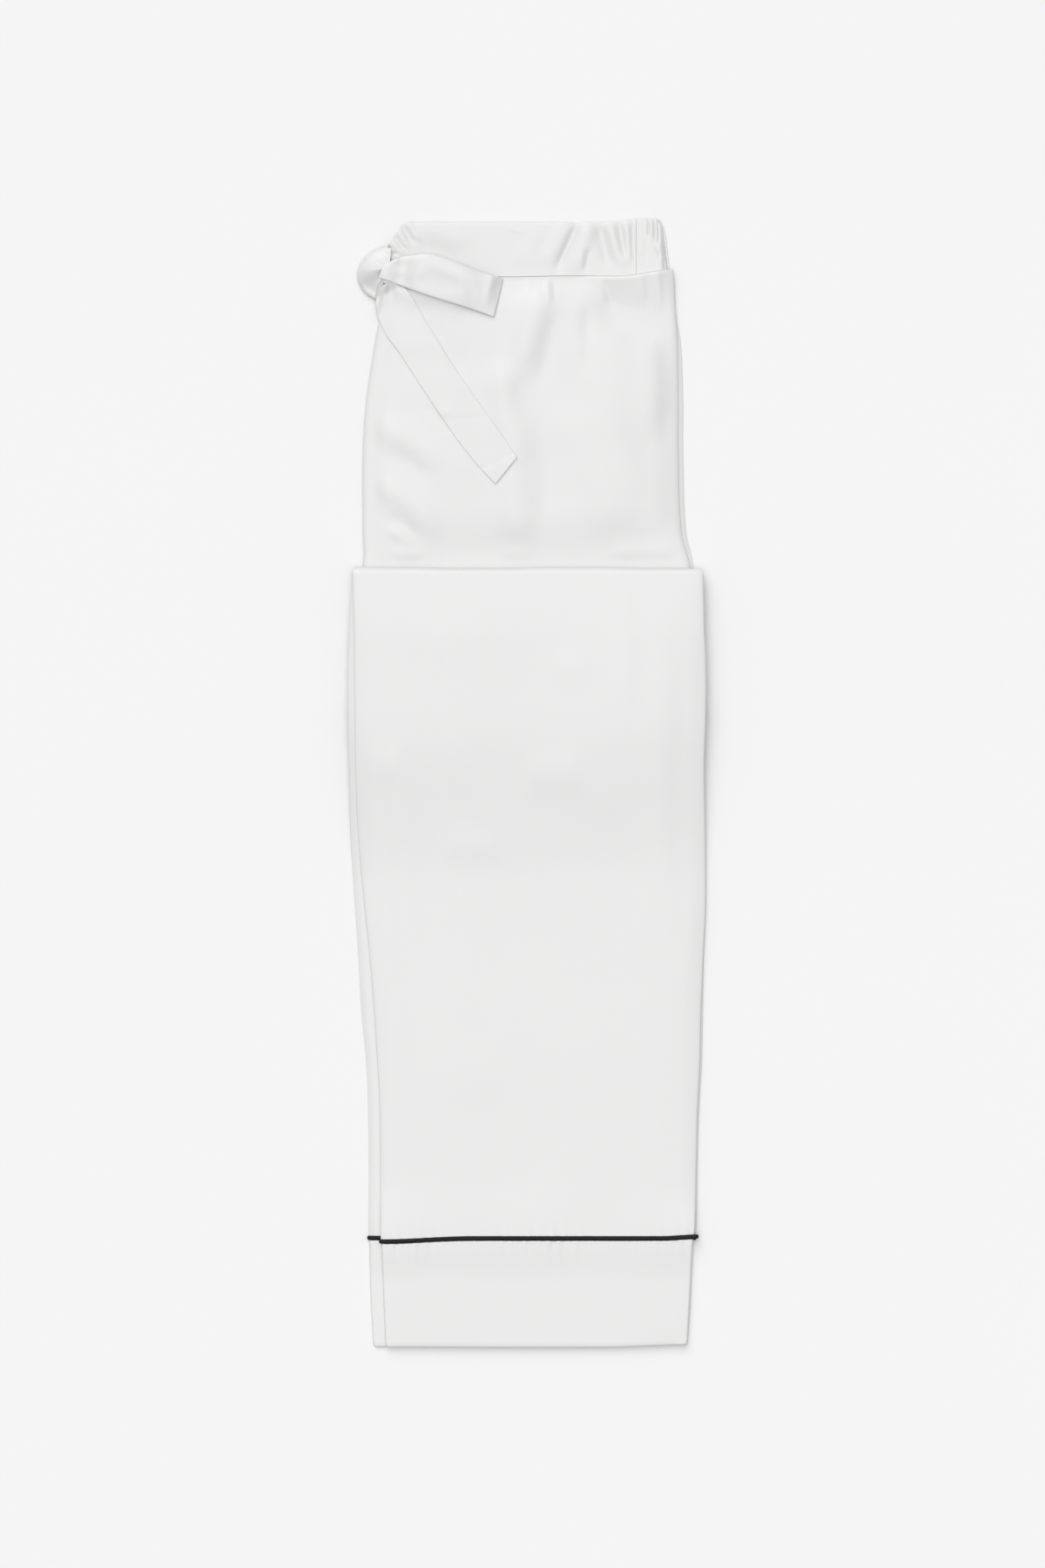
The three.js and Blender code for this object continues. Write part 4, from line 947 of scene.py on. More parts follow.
def piping_shift(x: Array) -> Array:
    """How far the near piping's line leaves a straight one, along y."""
    return -PIPING_DIP * smoothstep(-x, 40, 108) + PIPING_TURN_UP * smoothstep(x, 100, 126)


def band_seam_shift(x: Array) -> Array:
    """How far the band's seam leaves a straight line, along y."""
    return BAND_SEAM_CLIMB * smoothstep(x, 66, 112) + BAND_SEAM_STEP * smoothstep(x, -10, 30)


def falling(*stretches: tuple[float, float, float]) -> Array:
    """Rows that fall from start to end at about the given pitch, stretch after stretch."""
    parts = []
    for start, end, pitch in stretches:
        count = max(2, int(round(abs(start - end) / pitch)) + 1)
        parts.append(np.linspace(start, end, count)[:-1])
    return np.concatenate([*parts, [stretches[-1][1]]])


@dataclass
class Panels:
    """The four leg panels: two fronts and two backs, folded together.

    A drop is how far an edge falls where it rolls over the layer below, and follows is the share of the
    near front's form that a hidden back takes up.
    """

    wardrobe: Wardrobe
    body: BodyForm
    plan: FoldPlan = field(default_factory=FoldPlan)
    leg: LegForm = field(default_factory=LegForm)
    near_cloth: float = 0.9
    back_cloth: float = 0.7
    roll_radius: float = 5.4
    edge_drop: float = 1.7
    leg_edge_drop: float = 0.85
    tuck_in: float = 4.0
    far_edge_drop: float = 1.2
    leg_end: float = LEG_END - SEAM_GAP + SEAM_HALF_GAP
    near_count: int = 92
    far_count: int = 30
    centre_front_drop: float = 0.55
    body_left_drop: float = 1.05
    body_roll_radius: float = 8.0
    far_roll: float = 1.1
    back_inset: float = 6.0
    back_clearance: float = 0.02
    back_fall_power: float = 1.3
    near_back_follows: float = 0.95
    far_back_follows: float = 0.35
    fold_wave: float = 0.4

    def rows(self, body: Stretches, leg: Stretches) -> Route:
        """Route over the given stretches of rows, with fine rows at the band's and the piping's seam.

        Args:
            body: start, end and pitch of each stretch from the band's seam to the lower turn.
            leg: the same from the upper turn to the piping's seam.

        Returns:
            The route's places.
        """
        top = BAND_SEAM - SEAM_HALF_GAP - np.array(SEAM_STEPS[:-1])
        end = self.leg_end + np.array(SEAM_STEPS[-2::-1])
        return self.plan.route(np.concatenate([top, falling(*body)]), np.concatenate([falling(*leg), end]))

    def near_rows(self) -> Route:
        """Fine rows where the left front shows, few where it doesn't."""
        start = BAND_SEAM - SEAM_HALF_GAP - SEAM_STEPS[-1]
        body = ((start, 330, 1.3), (330, 162, 2.1), (162, 110, 26))
        leg = ((112, 58, 4.5), (58, -80, 3.5), (-80, -300, 5), (-300, -324, 3))
        return self.rows(body, (*leg, (-324, self.leg_end + 1, 1.1)))

    def far_rows(self) -> Route:
        """Rows of the layers that show at their edges and from below."""
        start = BAND_SEAM - SEAM_HALF_GAP - SEAM_STEPS[-1]
        leg = ((112, 58, 10), (58, -80, 5), (-80, -300, 10), (-300, self.leg_end + 1, 4))
        return self.rows(((start, 170, 6), (170, 110, 20)), leg)

    def edges(self, route: Route, near: bool) -> tuple[Array, Array]:
        """Side edges of the near or of the outermost layer along the route."""
        names = ("left", "right") if near else ("outer_left", "outer_right")
        left, right = (
            lerp(LEG_EDGES.read(name, route.y), BODY_EDGES.read(name, route.y), route.body) for name in names
        )
        return left, right

    def near_front(self) -> bpy.types.Object:
        """Left front: its height is the stack's near face, plus the form of the body or of the leg.

        Returns:
            The piece that replaces front_left.
        """
        route = self.near_rows()
        left, right = self.edges(route, True)
        x, from_left, from_right = panel_columns(left, right, self.near_count, EDGE_STEPS)
        inside = np.minimum(from_left, from_right)
        y = by_row(route.y, x)
        flat_body = ((route.body == 1) & (route.heading == math.pi))[:, None]
        body, leg = route.body[:, None], route.leg[:, None]
        rise = np.where(flat_body, self.body.rise(x, y), 0.0)
        rise = rise + leg * (self.plan.lift(y) + self.leg.rise(x, y, inside))
        drop = lerp(self.leg_edge_drop, self.edge_drop, body)
        left_drop = lerp(drop, self.body_left_drop, body) + self.centre_front_drop * body
        roll = left_drop * rounded_drop(from_left, self.roll_radius)
        w = NEAR_FACE + CLOTH / 2 + rise - roll
        w = w - drop * rounded_drop(from_right, lerp(self.roll_radius, self.body_roll_radius, body))
        shift = leg * piping_shift(x) * smoothstep(-y, 300, -LEG_END)
        shift = shift + route.fold[:, None] * self.fold_wave * (1 + np.sin(x / 24) + 0.3 * np.sin(x / 7.3))
        shift = shift + flat_body * band_seam_shift(x) * smoothstep(y, BAND_SEAM - 22, BAND_SEAM - 1)
        middle = route.place(x, w, shift)
        piece = cloth_shell("left_front_panel", middle, self.near_cloth)
        self.wardrobe.dress(piece, self.wardrobe.satin, Slot.SATIN)
        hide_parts("front_left")
        return piece

    def far_front(self) -> bpy.types.Object:
        """Right front: the lowest layer, flat on the table, its left edge rolled up at the centre front.

        Returns:
            The piece that replaces front_right.
        """
        route = self.far_rows()
        left, right = self.edges(route, False)
        inset = lerp(self.tuck_in, 0, route.body)
        right = right - self.tuck_in
        x, from_left, _ = panel_columns(left + inset, right, self.far_count, EDGE_STEPS)
        roll = self.far_roll * route.body[:, None] * rounded_drop(from_left, self.roll_radius)
        middle = route.place(x, -NEAR_FACE - CLOTH / 2 + roll)
        piece = cloth_shell("right_front_panel", middle, CLOTH)
        self.wardrobe.dress(piece, self.wardrobe.satin, Slot.SATIN)
        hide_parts("front_right")
        return piece

    def back(self, near: bool) -> bpy.types.Object:
        """One back panel, inside the fold. The right one's edges roll down and close its leg.

        Args:
            near: the left back, under the left front, or else the right back.

        Returns:
            The piece, one of the two that replace backs_folded.
        """
        route = self.far_rows()
        left, right = self.edges(route, near)
        tuck = self.tuck_in if near else 0.0
        inset = lerp(tuck, self.back_inset, route.body)
        x, from_left, from_right = panel_columns(left + inset, right - tuck, self.far_count, EDGE_STEPS)
        y = by_row(route.y, x)
        side = 1.0 if near else -1.0
        flat_body = ((route.body == 1) & (route.heading == math.pi))[:, None]
        under = np.minimum(self.body.lofted(x, y), self.body.rise(x, y))
        loft = np.where(flat_body, 0.5 * under, 0.0)
        lift = route.leg[:, None] * self.plan.lift(y)
        drop = 0.0 if near else self.far_edge_drop
        fall_left = np.clip(1 - from_left / self.roll_radius, 0, 1) ** self.back_fall_power
        fall_right = np.clip(1 - from_right / self.roll_radius, 0, 1) ** self.back_fall_power
        roll = drop * (fall_left * (1 - route.body[:, None]) + fall_right)
        follows = self.near_back_follows if near else self.far_back_follows
        w = side * (BACKS / 4 + self.back_clearance) + side * roll + (loft + lift) * follows
        end = smoothstep(-y, 320, -LEG_END) * np.maximum(piping_shift(x), 0)
        middle = route.place(x, w, end)
        name = "left_back_panel" if near else "right_back_panel"
        piece = cloth_shell(name, middle, self.back_cloth)
        self.wardrobe.dress(piece, self.wardrobe.satin, Slot.SATIN)
        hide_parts("backs_folded")
        return piece

    def build(self) -> None:
        """Builds and dresses the four panels."""
        self.near_front()
        self.far_front()
        self.back(True)
        self.back(False)


@dataclass
class Waistband:
    """Flat front halves and the gathered elastic back.

    side_reach is how far the elastic back turns out at the side, and inner_drop how far its hidden layer
    stays below the top. Its cloth shows above show_heights.
    """

    wardrobe: Wardrobe
    top: float = 417.4
    far_top: float = 1.2
    back_low: float = 1.5
    back_top: float = 3.8
    near_low: float = 4.1
    near_top: float = 5.7
    elastic_start: float = 81.6
    front_cloth: float = 1.5
    back_cloth: float = 1.4
    rolled_top: float = 0.5
    top_roll_radius: float = 2.5
    side_climb: float = 2.7
    notch: float = 0.9
    scallop: float = 0.85
    side_reach: float = 2.4
    inner_drop: float = 7.5
    show_heights: tuple[float, float] = (2.6, 4.6)
    creases: tuple[Crease, ...] = (
        Crease(39.5, 421, 31, 402, 20, 377, 2.8, -1.2),
        Crease(48, 421, 42, 400, 34, 376, 6, 1.3),
        Crease(31, 421, 23, 402, 10, 382, 6, 0.9),
        Crease(53, 419, 57, 402, 62, 380, 4.4, -1.1),
        Crease(60, 421, 65, 402, 74, 378, 4.4, 1.0),
        Crease(46, 399, 45, 390, 43, 378, 2.2, -0.7),
        Crease(68, 420, 70, 404, 74, 388, 3.2, -0.9),
        Crease(74, 420, 75, 400, 78, 382, 2.8, 0.9),
        Crease(79.0, 420, 78.6, 402, 79.2, 382, 2.6, -0.8),
        Crease(10, 418, 2, 400, -4, 382, 9, 0.6),
        Crease(-16, 415, -8, 411, 0, 410, 2.2, 0.3),
        Crease(-84, 400, -66, 398, -44, 388, 6, -0.7),
        Crease(-88, 416, -66, 414, -36, 400, 7, 0.8),
    )
    ruffles: tuple[Crease, ...] = (
        Crease(-90, 421, -86, 412, -78, 402, 2.2, 0.85),
        Crease(-93.5, 418, -90, 408, -84, 400, 1.7, -0.65),
        Crease(-97, 414, -93, 405, -86, 397, 2.0, 0.85),
        Crease(-99.5, 409, -96, 402, -90, 396, 1.5, -0.59),
        Crease(-102, 405, -97, 399, -90, 393, 1.9, 0.78),
        Crease(-104.5, 401.5, -102.5, 399, -101, 397, 0.9, -1.5),
        Crease(-101, 396, -99.5, 394.5, -98, 393, 1.0, -1.6),
        Crease(-104, 396, -100, 391, -97, 388.5, 1.6, 0.8),
    )
    grooves: tuple[Crease, ...] = (
        Crease(90.4, 422, 90.8, 412, 90.2, 402, 0.9, -0.54),
        Crease(94.0, 421, 95.2, 410, 94.6, 398, 0.8, -0.6),
        Crease(97.0, 420, 98.6, 408, 98.0, 396, 0.9, -0.66),
        Crease(99.6, 414, 101.4, 402, 100.6, 388, 0.9, -0.54),
        Crease(94.5, 396, 97.5, 391, 99.5, 386, 0.9, -0.48),
        Crease(88.0, 404, 89.0, 396, 88.6, 386, 1.4, -0.24),
        Crease(92.4, 418, 93.0, 410, 92.4, 400, 1.1, 0.24),
        Crease(96.2, 418, 97.0, 408, 96.4, 398, 0.9, 0.24),
    )

    def top_shift(self, x: Array) -> Array:
        """The top edge rises a little to the side and has a notch at its crease."""
        return self.side_climb * smoothstep(x, 50, 92) - self.notch * bell(x, 38, 3.5)

    def rolled(self, y: Array) -> Array:
        """How far the rolled top edge falls below the band's face."""
        return self.rolled_top * rounded_drop(self.top - y, self.top_roll_radius)

    def near_height(self, x: Array, y: Array) -> Array:
        """Rise of the near band over its flat place."""
        left = BAND_EDGES.read("left", y)
        calm = smoothstep(np.minimum(x - left, self.elastic_start - x), -1.5, 3)
        return creased(self.creases, x, y) * calm + creased(self.ruffles, x, y) - self.rolled(y)

    def levels(self, count: int) -> Array:
        """Heights y of the rows, from the seam to the top."""
        start = BAND_SEAM + SEAM_HALF_GAP
        return start + edge_spaced(self.top - start, count, SEAM_STEPS)

    def grid(self, y: Array, right: Array, count: int) -> tuple[Array, Array, Array]:
        """Columns across the band at each of its rows.

        Args:
            y: heights of the rows.
            right: right edge at each row.
            count: even columns.

        Returns:
            x, y and the share of the way up.
        """
        scallop = self.scallop * np.sin((y - 396) * 0.92) * smoothstep(y, 395, 399)
        x, _, _ = panel_columns(BAND_EDGES.read("left", y) + scallop, right, count, SEAM_STEPS)
        return x, by_row(y, x), by_row((y - y[0]) / (y[-1] - y[0]), x)

    def near_front(self) -> bpy.types.Object:
        """Flat left half: a doubled band with its creases, ruffled where the sash pulls it in."""
        y = self.levels(38)
        x, y2, up = self.grid(y, np.full(len(y), self.elastic_start - 0.01), 130)
        z = (self.near_low + self.near_top) / 2 + self.near_height(x, y2)
        middle = np.stack([x, y2 + lerp(band_seam_shift(x), self.top_shift(x), up), z], -1)
        piece = cloth_shell("left_front_waistband", middle, self.front_cloth)
        self.wardrobe.dress(piece, self.wardrobe.satin, Slot.SATIN)
        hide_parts("waistband_front_left")
        return piece

    def far_front(self) -> bpy.types.Object:
        """Flat right half, on the table."""
        y = self.levels(16)
        x, y2, up = self.grid(y, BAND_EDGES.read("far_right", y), 40)
        middle = np.stack([x, y2 + self.top_shift(x) * up, np.full_like(x, self.far_top / 2)], -1)
        piece = cloth_shell("right_front_waistband", middle, self.far_top)
        self.wardrobe.dress(piece, self.wardrobe.satin, Slot.SATIN)
        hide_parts("waistband_front_right")
        return piece

    def elastic_section(
        self, t: Array, left: float, right: float, ledge: float
    ) -> tuple[Array, Array]:
        """Section round the elastic back, from its visible end over the side and back inside.

        The path runs level from the elastic's start, turns round the side on a half ellipse, and runs
        back level between the fronts.

        Args:
            t: places along the path, 0 to 1.
            left: how far it runs back.
            right: the side edge.
            ledge: how far the under side stands out past that edge.

        Returns:
            x and z of the path.
        """
        top = self.near_top - 0.75
        low = (self.back_low + self.back_top) / 2 - 0.3
        reach = self.side_reach
        start = self.elastic_start + 0.01
        run_out = (right - reach) - start
        turn = math.pi * 1.7
        run_back = right - reach + ledge - left
        total = run_out + turn + run_back
        s = t * total
        out = np.clip(s, 0, run_out)
        angle = np.clip((s - run_out) / turn, 0, 1) * math.pi
        back = np.clip(s - run_out - turn, 0, run_back)
        stand_out = ledge * smoothstep(angle, 0.45 * math.pi, 0.85 * math.pi)
        x = start + out + reach * np.sin(angle) + stand_out - back
        z = (top + low) / 2 + (top - low) / 2 * np.cos(angle)
        return x, z

    def back(self) -> bpy.types.Object:
        """Gathered back band: a doubled cloth over its elastic, puckered where it shows."""
        y = self.levels(38)
        up = ((y - y[0]) / (y[-1] - y[0]))[:, None]
        fine, shown = 0.0012, 0.2
        t = np.concatenate([
            np.linspace(0, fine, 4)[:-1], np.linspace(fine, shown, 90)[:-1], np.linspace(shown, 1, 34),
        ])
        edges = (BAND_EDGES.read(name, y) for name in ("left", "near_right", "far_right"))
        sections = [
            self.elastic_section(t, left + 4, right, far - right - 0.9) for left, right, far in zip(*edges)
        ]
        x, z = np.array([section[0] for section in sections]), np.array([section[1] for section in sections])
        y2 = by_row(y, x)
        visible = smoothstep(z, *self.show_heights)
        z = z + visible * (creased(self.grooves, x, y2) - self.rolled(y2))
        gathers = 0.35 * np.sin(t * 330)[None, :] * (1 - visible) * smoothstep(x, 60, 90)
        shift = lerp(band_seam_shift(x) * visible, self.top_shift(x), up)
        shift = shift - self.inner_drop * up * (1 - visible) * smoothstep(x, 80, 104)
        middle = np.stack([x + gathers, y2 + shift, z], -1)
        piece = cloth_shell("back_waistband", middle, self.back_cloth, rims=(2, 1))
        self.wardrobe.dress(piece, self.wardrobe.satin, Slot.SATIN)
        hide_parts("waistband_back")
        return piece

    def build(self) -> None:
        """Builds and dresses the three bands."""
        self.near_front()
        self.far_front()
        self.back()


@dataclass
class Ground:
    """Top of the garment under the sash."""

    body: BodyForm
    band: Waistband

    def height(self, x: Array, y: Array) -> Array:
        """Upper face of the band or of the left front, falling to the table past the left edge.

        Args:
            x: places across.
            y: places along.

        Returns:
            Height over the table.
        """
        panel = HALF_STACK + NEAR_FACE + CLOTH + self.body.rise(x, y)
        band = self.band.near_top + self.band.near_height(x, y)
        left = np.where(y > BAND_SEAM, BAND_EDGES.read("left", y), BODY_EDGES.read("left", y))
        garment = lerp(panel, band, smoothstep(y, BAND_SEAM - 3, BAND_SEAM + 1))
        return garment * smoothstep(x, left - 6, left + 1)

    def clear(self, x: Array, y: Array, reach: float) -> Array:
        """Highest ground within a small reach, as the largest of nine readings."""
        found = self.height(x, y)
        for k in range(8):
            angle = k * math.pi / 4
            near = self.height(x + reach * math.cos(angle), y + reach * math.sin(angle))
            found = np.maximum(found, near)
        return found


def smooth_read(rows: Array, at: Array) -> Array:
    """Cubic curve through evenly spaced rows of values, with each row's slope from its neighbours.

    Args:
        rows: the rows of values.
        at: where to read, 0 the first row and 1 the last.

    Returns:
        One row of values for each place.
    """
    slopes = np.gradient(rows, axis=0)
    t = np.clip(at, 0, 1) * (len(rows) - 1)
    i = np.clip(t.astype(int), 0, len(rows) - 2)
    u = (t - i)[:, None]
    return cubic(rows[i], rows[i + 1], (slopes[i], slopes[i + 1]), 1, u)


@dataclass
class Sash:
    """The tied sash: its knot, its two loops and the tail that shows.

    The strips are given by rows of their two side edges: left x and y, right x and y. The fan gives the
    side loop's reach from the knot, in pairs of an angle in degrees and a length.
    """

    wardrobe: Wardrobe
    ground: Ground
    cloth: float = 0.65
    rest_gap: float = 0.04
    knot_x: float = -102.5
    knot_y: float = 383.0
    knot_z: float = 7.9
    root_z: float = 10.9
    tail_edges: tuple[tuple[float, float, float, float], ...] = (
        (-109.0, 369.5, -97.0, 376.0),
        (-112.6, 358.5, -91.0, 369.5),
        (-110.6, 346.0, -84.2, 359.5),
        (-104.9, 333.6, -77.2, 347.0),
        (-95.6, 321.0, -68.6, 333.2),
        (-84.8, 304.5, -58.6, 316.8),
        (-74.1, 288.0, -48.2, 301.0),
        (-62.7, 271.0, -37.4, 285.4),
        (-50.3, 253.6, -26.2, 269.8),
        (-37.3, 237.2, -15.6, 254.4),
        (-23.4, 222.4, -7.2, 242.4),
    )
    loop_edges: tuple[tuple[float, float, float, float], ...] = (
        (-110.4, 376.2, -107.0, 385.0),
        (-101.0, 373.2, -96.5, 390.6),
        (-90.0, 368.8, -85.0, 392.8),
        (-79.0, 364.7, -73.0, 393.4),
        (-66.0, 360.4, -60.0, 390.0),
        (-52.0, 356.2, -46.0, 384.4),
        (-38.0, 351.6, -31.0, 379.3),
        (-24.6, 347.0, -18.0, 376.0),
    )
    loop_rise: float = 2.5
    loop_lean: float = 1.5
    loop_end_run: float = 0.055
    fan: tuple[tuple[float, float], ...] = (
        (92, 15.2), (103.5, 16.6), (118, 16.9), (133.6, 17.9), (148, 18.9), (163.3, 20.5),
        (176, 22.2), (189.5, 23.9), (204.5, 25.2), (221.8, 25.4), (240, 24.9), (250, 24.4),
    )
    loop_dents: tuple[Crease, ...] = (
        Crease(30, 8.5, 44, 7.2, 62, 8.0, 4.4, -0.45),
        Crease(36, 14, 52, 13.0, 68, 11.0, 5.0, -0.55),
        Crease(40, 21, 56, 21.0, 76, 19.0, 4.6, 0.4),
        Crease(70, 25, 76, 14, 82, 3, 3.0, 0.3),
    )
    tail_wide: float = 27.0
    tail_long: float = 190.0
    tail_slant: float = 14.0
    tail_arch: float = 0.3
    hem_start: float = 0.925
    hem_slant: float = 0.045
    hem_edge: float = 0.006
    loop_wide: float = 28.0
    loop_long: float = 92.0
    loop_arch: float = 0.8
    loop_end_height: float = 1.3
    loop_near_roll: float = 2.0
    loop_far_roll: float = 6.0
    pleats: float = 2.1
    fan_wide: float = 50.0
    fan_start: float = 84.0
    fan_low_end: float = 250.0
    fan_top_end: float = 236.0
    fan_crown: float = 10.4
    knot_rows: int = 40
    knot_columns: int = 64
    knot_half_wide: float = 6.6
    knot_half_long: float = 8.4
    knot_half_tall: float = 1.9

    def strip(
        self, edges: tuple[tuple[float, float, float, float], ...], at: Array, side: Array
    ) -> tuple[Array, Array]:
        """Places on a strip: straight across between two smooth edges.

        Args:
            edges: rows of left x, left y, right x, right y.
            at: share of the way along, one for each row.
            side: share across, 0 left and 1 right, one for each column.

        Returns:
            x and y, rows by columns.
        """
        table = smooth_read(np.array(edges, float), at)
        x = table[:, 0:1] * (1 - side) + table[:, 2:3] * side
        y = table[:, 1:2] * (1 - side) + table[:, 3:4] * side
        return x, y

    def across(self, wide: float, count: int) -> Array:
        """Columns of a strip as shares from 0 to 1, finer at both edges."""
        return (edge_spaced(wide, count, (0.0, 0.12, 0.35, 0.8, 1.5)) / wide)[None, :]

    def tail(self) -> bpy.types.Object:
        """Tail: a flat strip laid on the body, pleated at the knot and hemmed on a slant at its end."""
        at = edge_spaced(1.0, 120, (0.0, 0.001, 0.0025, 0.005))
        side = self.across(self.tail_wide, 22)
        x, y = self.strip(self.tail_edges, at, side)
        t = at[:, None]
        ground = self.ground.clear(x, y, 1.2)
        arch = self.tail_arch * (1 - (2 * side - 1) ** 2)
        near_knot = smoothstep(0.2 - t, 0, 0.2)
        pleat = near_knot * (0.6 + 0.6 * np.cos((side - 0.30) * 2 * math.pi * self.pleats))
        ground = np.maximum(ground, 3.4 * smoothstep(0.24 - t, 0, 0.14))
        ground = ground + 2.2 * smoothstep(0.09 - t, 0, 0.09)
        along = t * self.tail_long - side * self.tail_slant
        cross = (0.22 * bell(along, 128, 3) - 0.22 * bell(along, 134, 2.4)) * (1 - 0.8 * side)
        cross = cross + 0.25 * bell(along, 70, 9)
        hem_line = self.hem_start + self.hem_slant * side
        hem = 0.22 * smoothstep(t, hem_line, hem_line + self.hem_edge)
        hem = hem - 0.25 * bell(t - hem_line, 0, self.hem_edge)
        curl = 0.25 * smoothstep(t, 0.93, 1.0) * (side - 0.3)
        z = ground + self.rest_gap + self.cloth / 2 + arch + pleat + cross + hem + np.maximum(curl, 0)
        middle = np.stack([x, y, z], -1)
        piece = cloth_shell("sash_tail", middle, self.cloth, rims=(3, 3))
        self.wardrobe.dress(piece, self.wardrobe.sash, Slot.SATIN)
        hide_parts("tie_tail")
        return piece

    def loop_front(self) -> bpy.types.Object:
        """Front loop: out low from the knot, round its far end on a half ellipse, and back on top.

        The upper run is level, then falls to the pressed end along a soft crease.

        Returns:
            The piece that replaces tie_loop_front.
        """
        last = [0.955, 0.968, 0.978]
        low = np.concatenate([np.linspace(0.15, 0.94, 50), last])
        top = np.concatenate([[0, 0.0012, 0.003, 0.006], np.linspace(0.012, 0.94, 60), last])
        turn = np.linspace(0, math.pi, 12)[1:-1]
        place = np.concatenate([low, low[-1] + 0.022 * np.sin(turn), top[::-1]])
        upper = np.concatenate([np.zeros_like(low), (1 - np.cos(turn)) / 2, np.ones_like(top)])[:, None]
        side = self.across(self.loop_wide, 26)
        x, y = self.strip(self.loop_edges, place, side)
        t = place[:, None]
        start = 1 - self.loop_end_run - 0.03
        end = lerp(np.clip((t - start) / (0.99 - start), 0, 1), smoothstep(t, start, 0.99), 0.3)
        tall = self.loop_rise * lerp(0.75, 1.0, smoothstep(t, 0.05, 0.35))
        high = lerp(tall, self.loop_end_height, end)
        arch = self.loop_arch * (1 - (2 * side - 1) ** 2) * smoothstep(t, 0.1, 0.35) * (1 - end)
        edge = -0.08 * high * rounded_drop(self.loop_wide * side, self.loop_near_roll)
        edge = edge - 0.4 * high * rounded_drop(self.loop_wide * (1 - side), self.loop_far_roll)
        lean = self.loop_lean * (side - 0.5) * smoothstep(t, 0.1, 0.3) * (1 - end)
        folds = creased(self.loop_dents, t * self.loop_long + 0 * side, side * self.loop_wide + 0 * t)
        pinch = bell(t, 0.2, 0.1) * 0.16 * np.cos(side * 2 * math.pi * self.pleats + 0.6)
        ground = self.ground.clear(x, y, 2.0)
        rest = ground + self.rest_gap + self.cloth / 2 + 1.0 * (1 - smoothstep(t, 0.1, 0.32))
        level = (ground.max(axis=1, keepdims=True) - ground) * smoothstep(t, 0.08, 0.34) * (1 - end)
        crown = rest + level + high + arch + edge + lean + folds + pinch
        root = self.root_z - 0.5 * (2 * side - 1) ** 2
        crown = lerp(crown, np.maximum(crown, root), 1 - smoothstep(t, 0.06, 0.24))
        z = lerp(rest, crown, upper)
        middle = np.stack([x, y, z], -1)
        piece = cloth_shell("sash_loop_front", middle, self.cloth, rims=(3, 3))
        self.wardrobe.dress(piece, self.wardrobe.sash, Slot.SATIN)
        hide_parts("tie_loop_front")
        return piece

    def loop_side(self) -> bpy.types.Object:
        """Side loop: a fan over the left edge, out on top, round its outline and back below.

        Each column is a ray from the knot. Its reach comes from the fan's table, and the upper layer
        ends sooner than the lower one, which shows as a rim.

        Returns:
            The piece that replaces tie_loop_side.
        """
        angles, reaches = np.array(self.fan, float).T
        out = np.concatenate([np.linspace(0.1, 0.9, 28), [0.93, 0.955, 0.975]])
        back = out[:5:-1]
        turn = np.linspace(0, math.pi, 10)[1:-1]
        share = np.concatenate([out, out[-1] + 0.025 * np.sin(turn), back])[:, None]
        upper = np.concatenate([np.ones_like(out), (1 + np.cos(turn)) / 2, np.zeros_like(back)])[:, None]
        side = self.across(self.fan_wide, 44)
        last = lerp(self.fan_low_end, self.fan_top_end, upper * (1 - 0.5 * smoothstep(share, 0.6, 1)))
        angle = lerp(self.fan_start, last, side)
        reach = np.interp(angle, angles, reaches)
        short = 1 - 0.07 * upper * smoothstep(angle, 196, 216)
        x = self.knot_x + np.cos(np.radians(angle)) * reach * share * short
        y = self.knot_y + np.sin(np.radians(angle)) * reach * share * short
        ground = self.ground.clear(x, y, 1.6)
        rest = 2.2 + 3.6 * smoothstep(1 - share, 0.05, 0.6)
        rest = np.maximum(rest, ground + self.rest_gap + self.cloth / 2)
        crown = self.fan_crown * np.sqrt(np.clip(1 - 0.62 * share**3.6, 0, 1)) - 1.2 * share
        puckers = 0.1 * np.cos(np.radians(angle) * 13) * (1 - smoothstep(share, 0.35, 0.7))
        crown = np.maximum(crown + puckers, rest + 1.1)
        facet = lerp(smoothstep(angle, 180, 226), np.clip((angle - 184) / 40, 0, 1), 0.6)
        crown = lerp(crown, rest + 0.85, facet)
        z = lerp(rest, crown, upper)
        middle = np.stack([x, y, z], -1)
        piece = cloth_shell("sash_loop_side", middle, self.cloth, rims=(1, 3))
        self.wardrobe.dress(piece, self.wardrobe.sash, Slot.SATIN)
        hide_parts("tie_loop_side")
        return piece

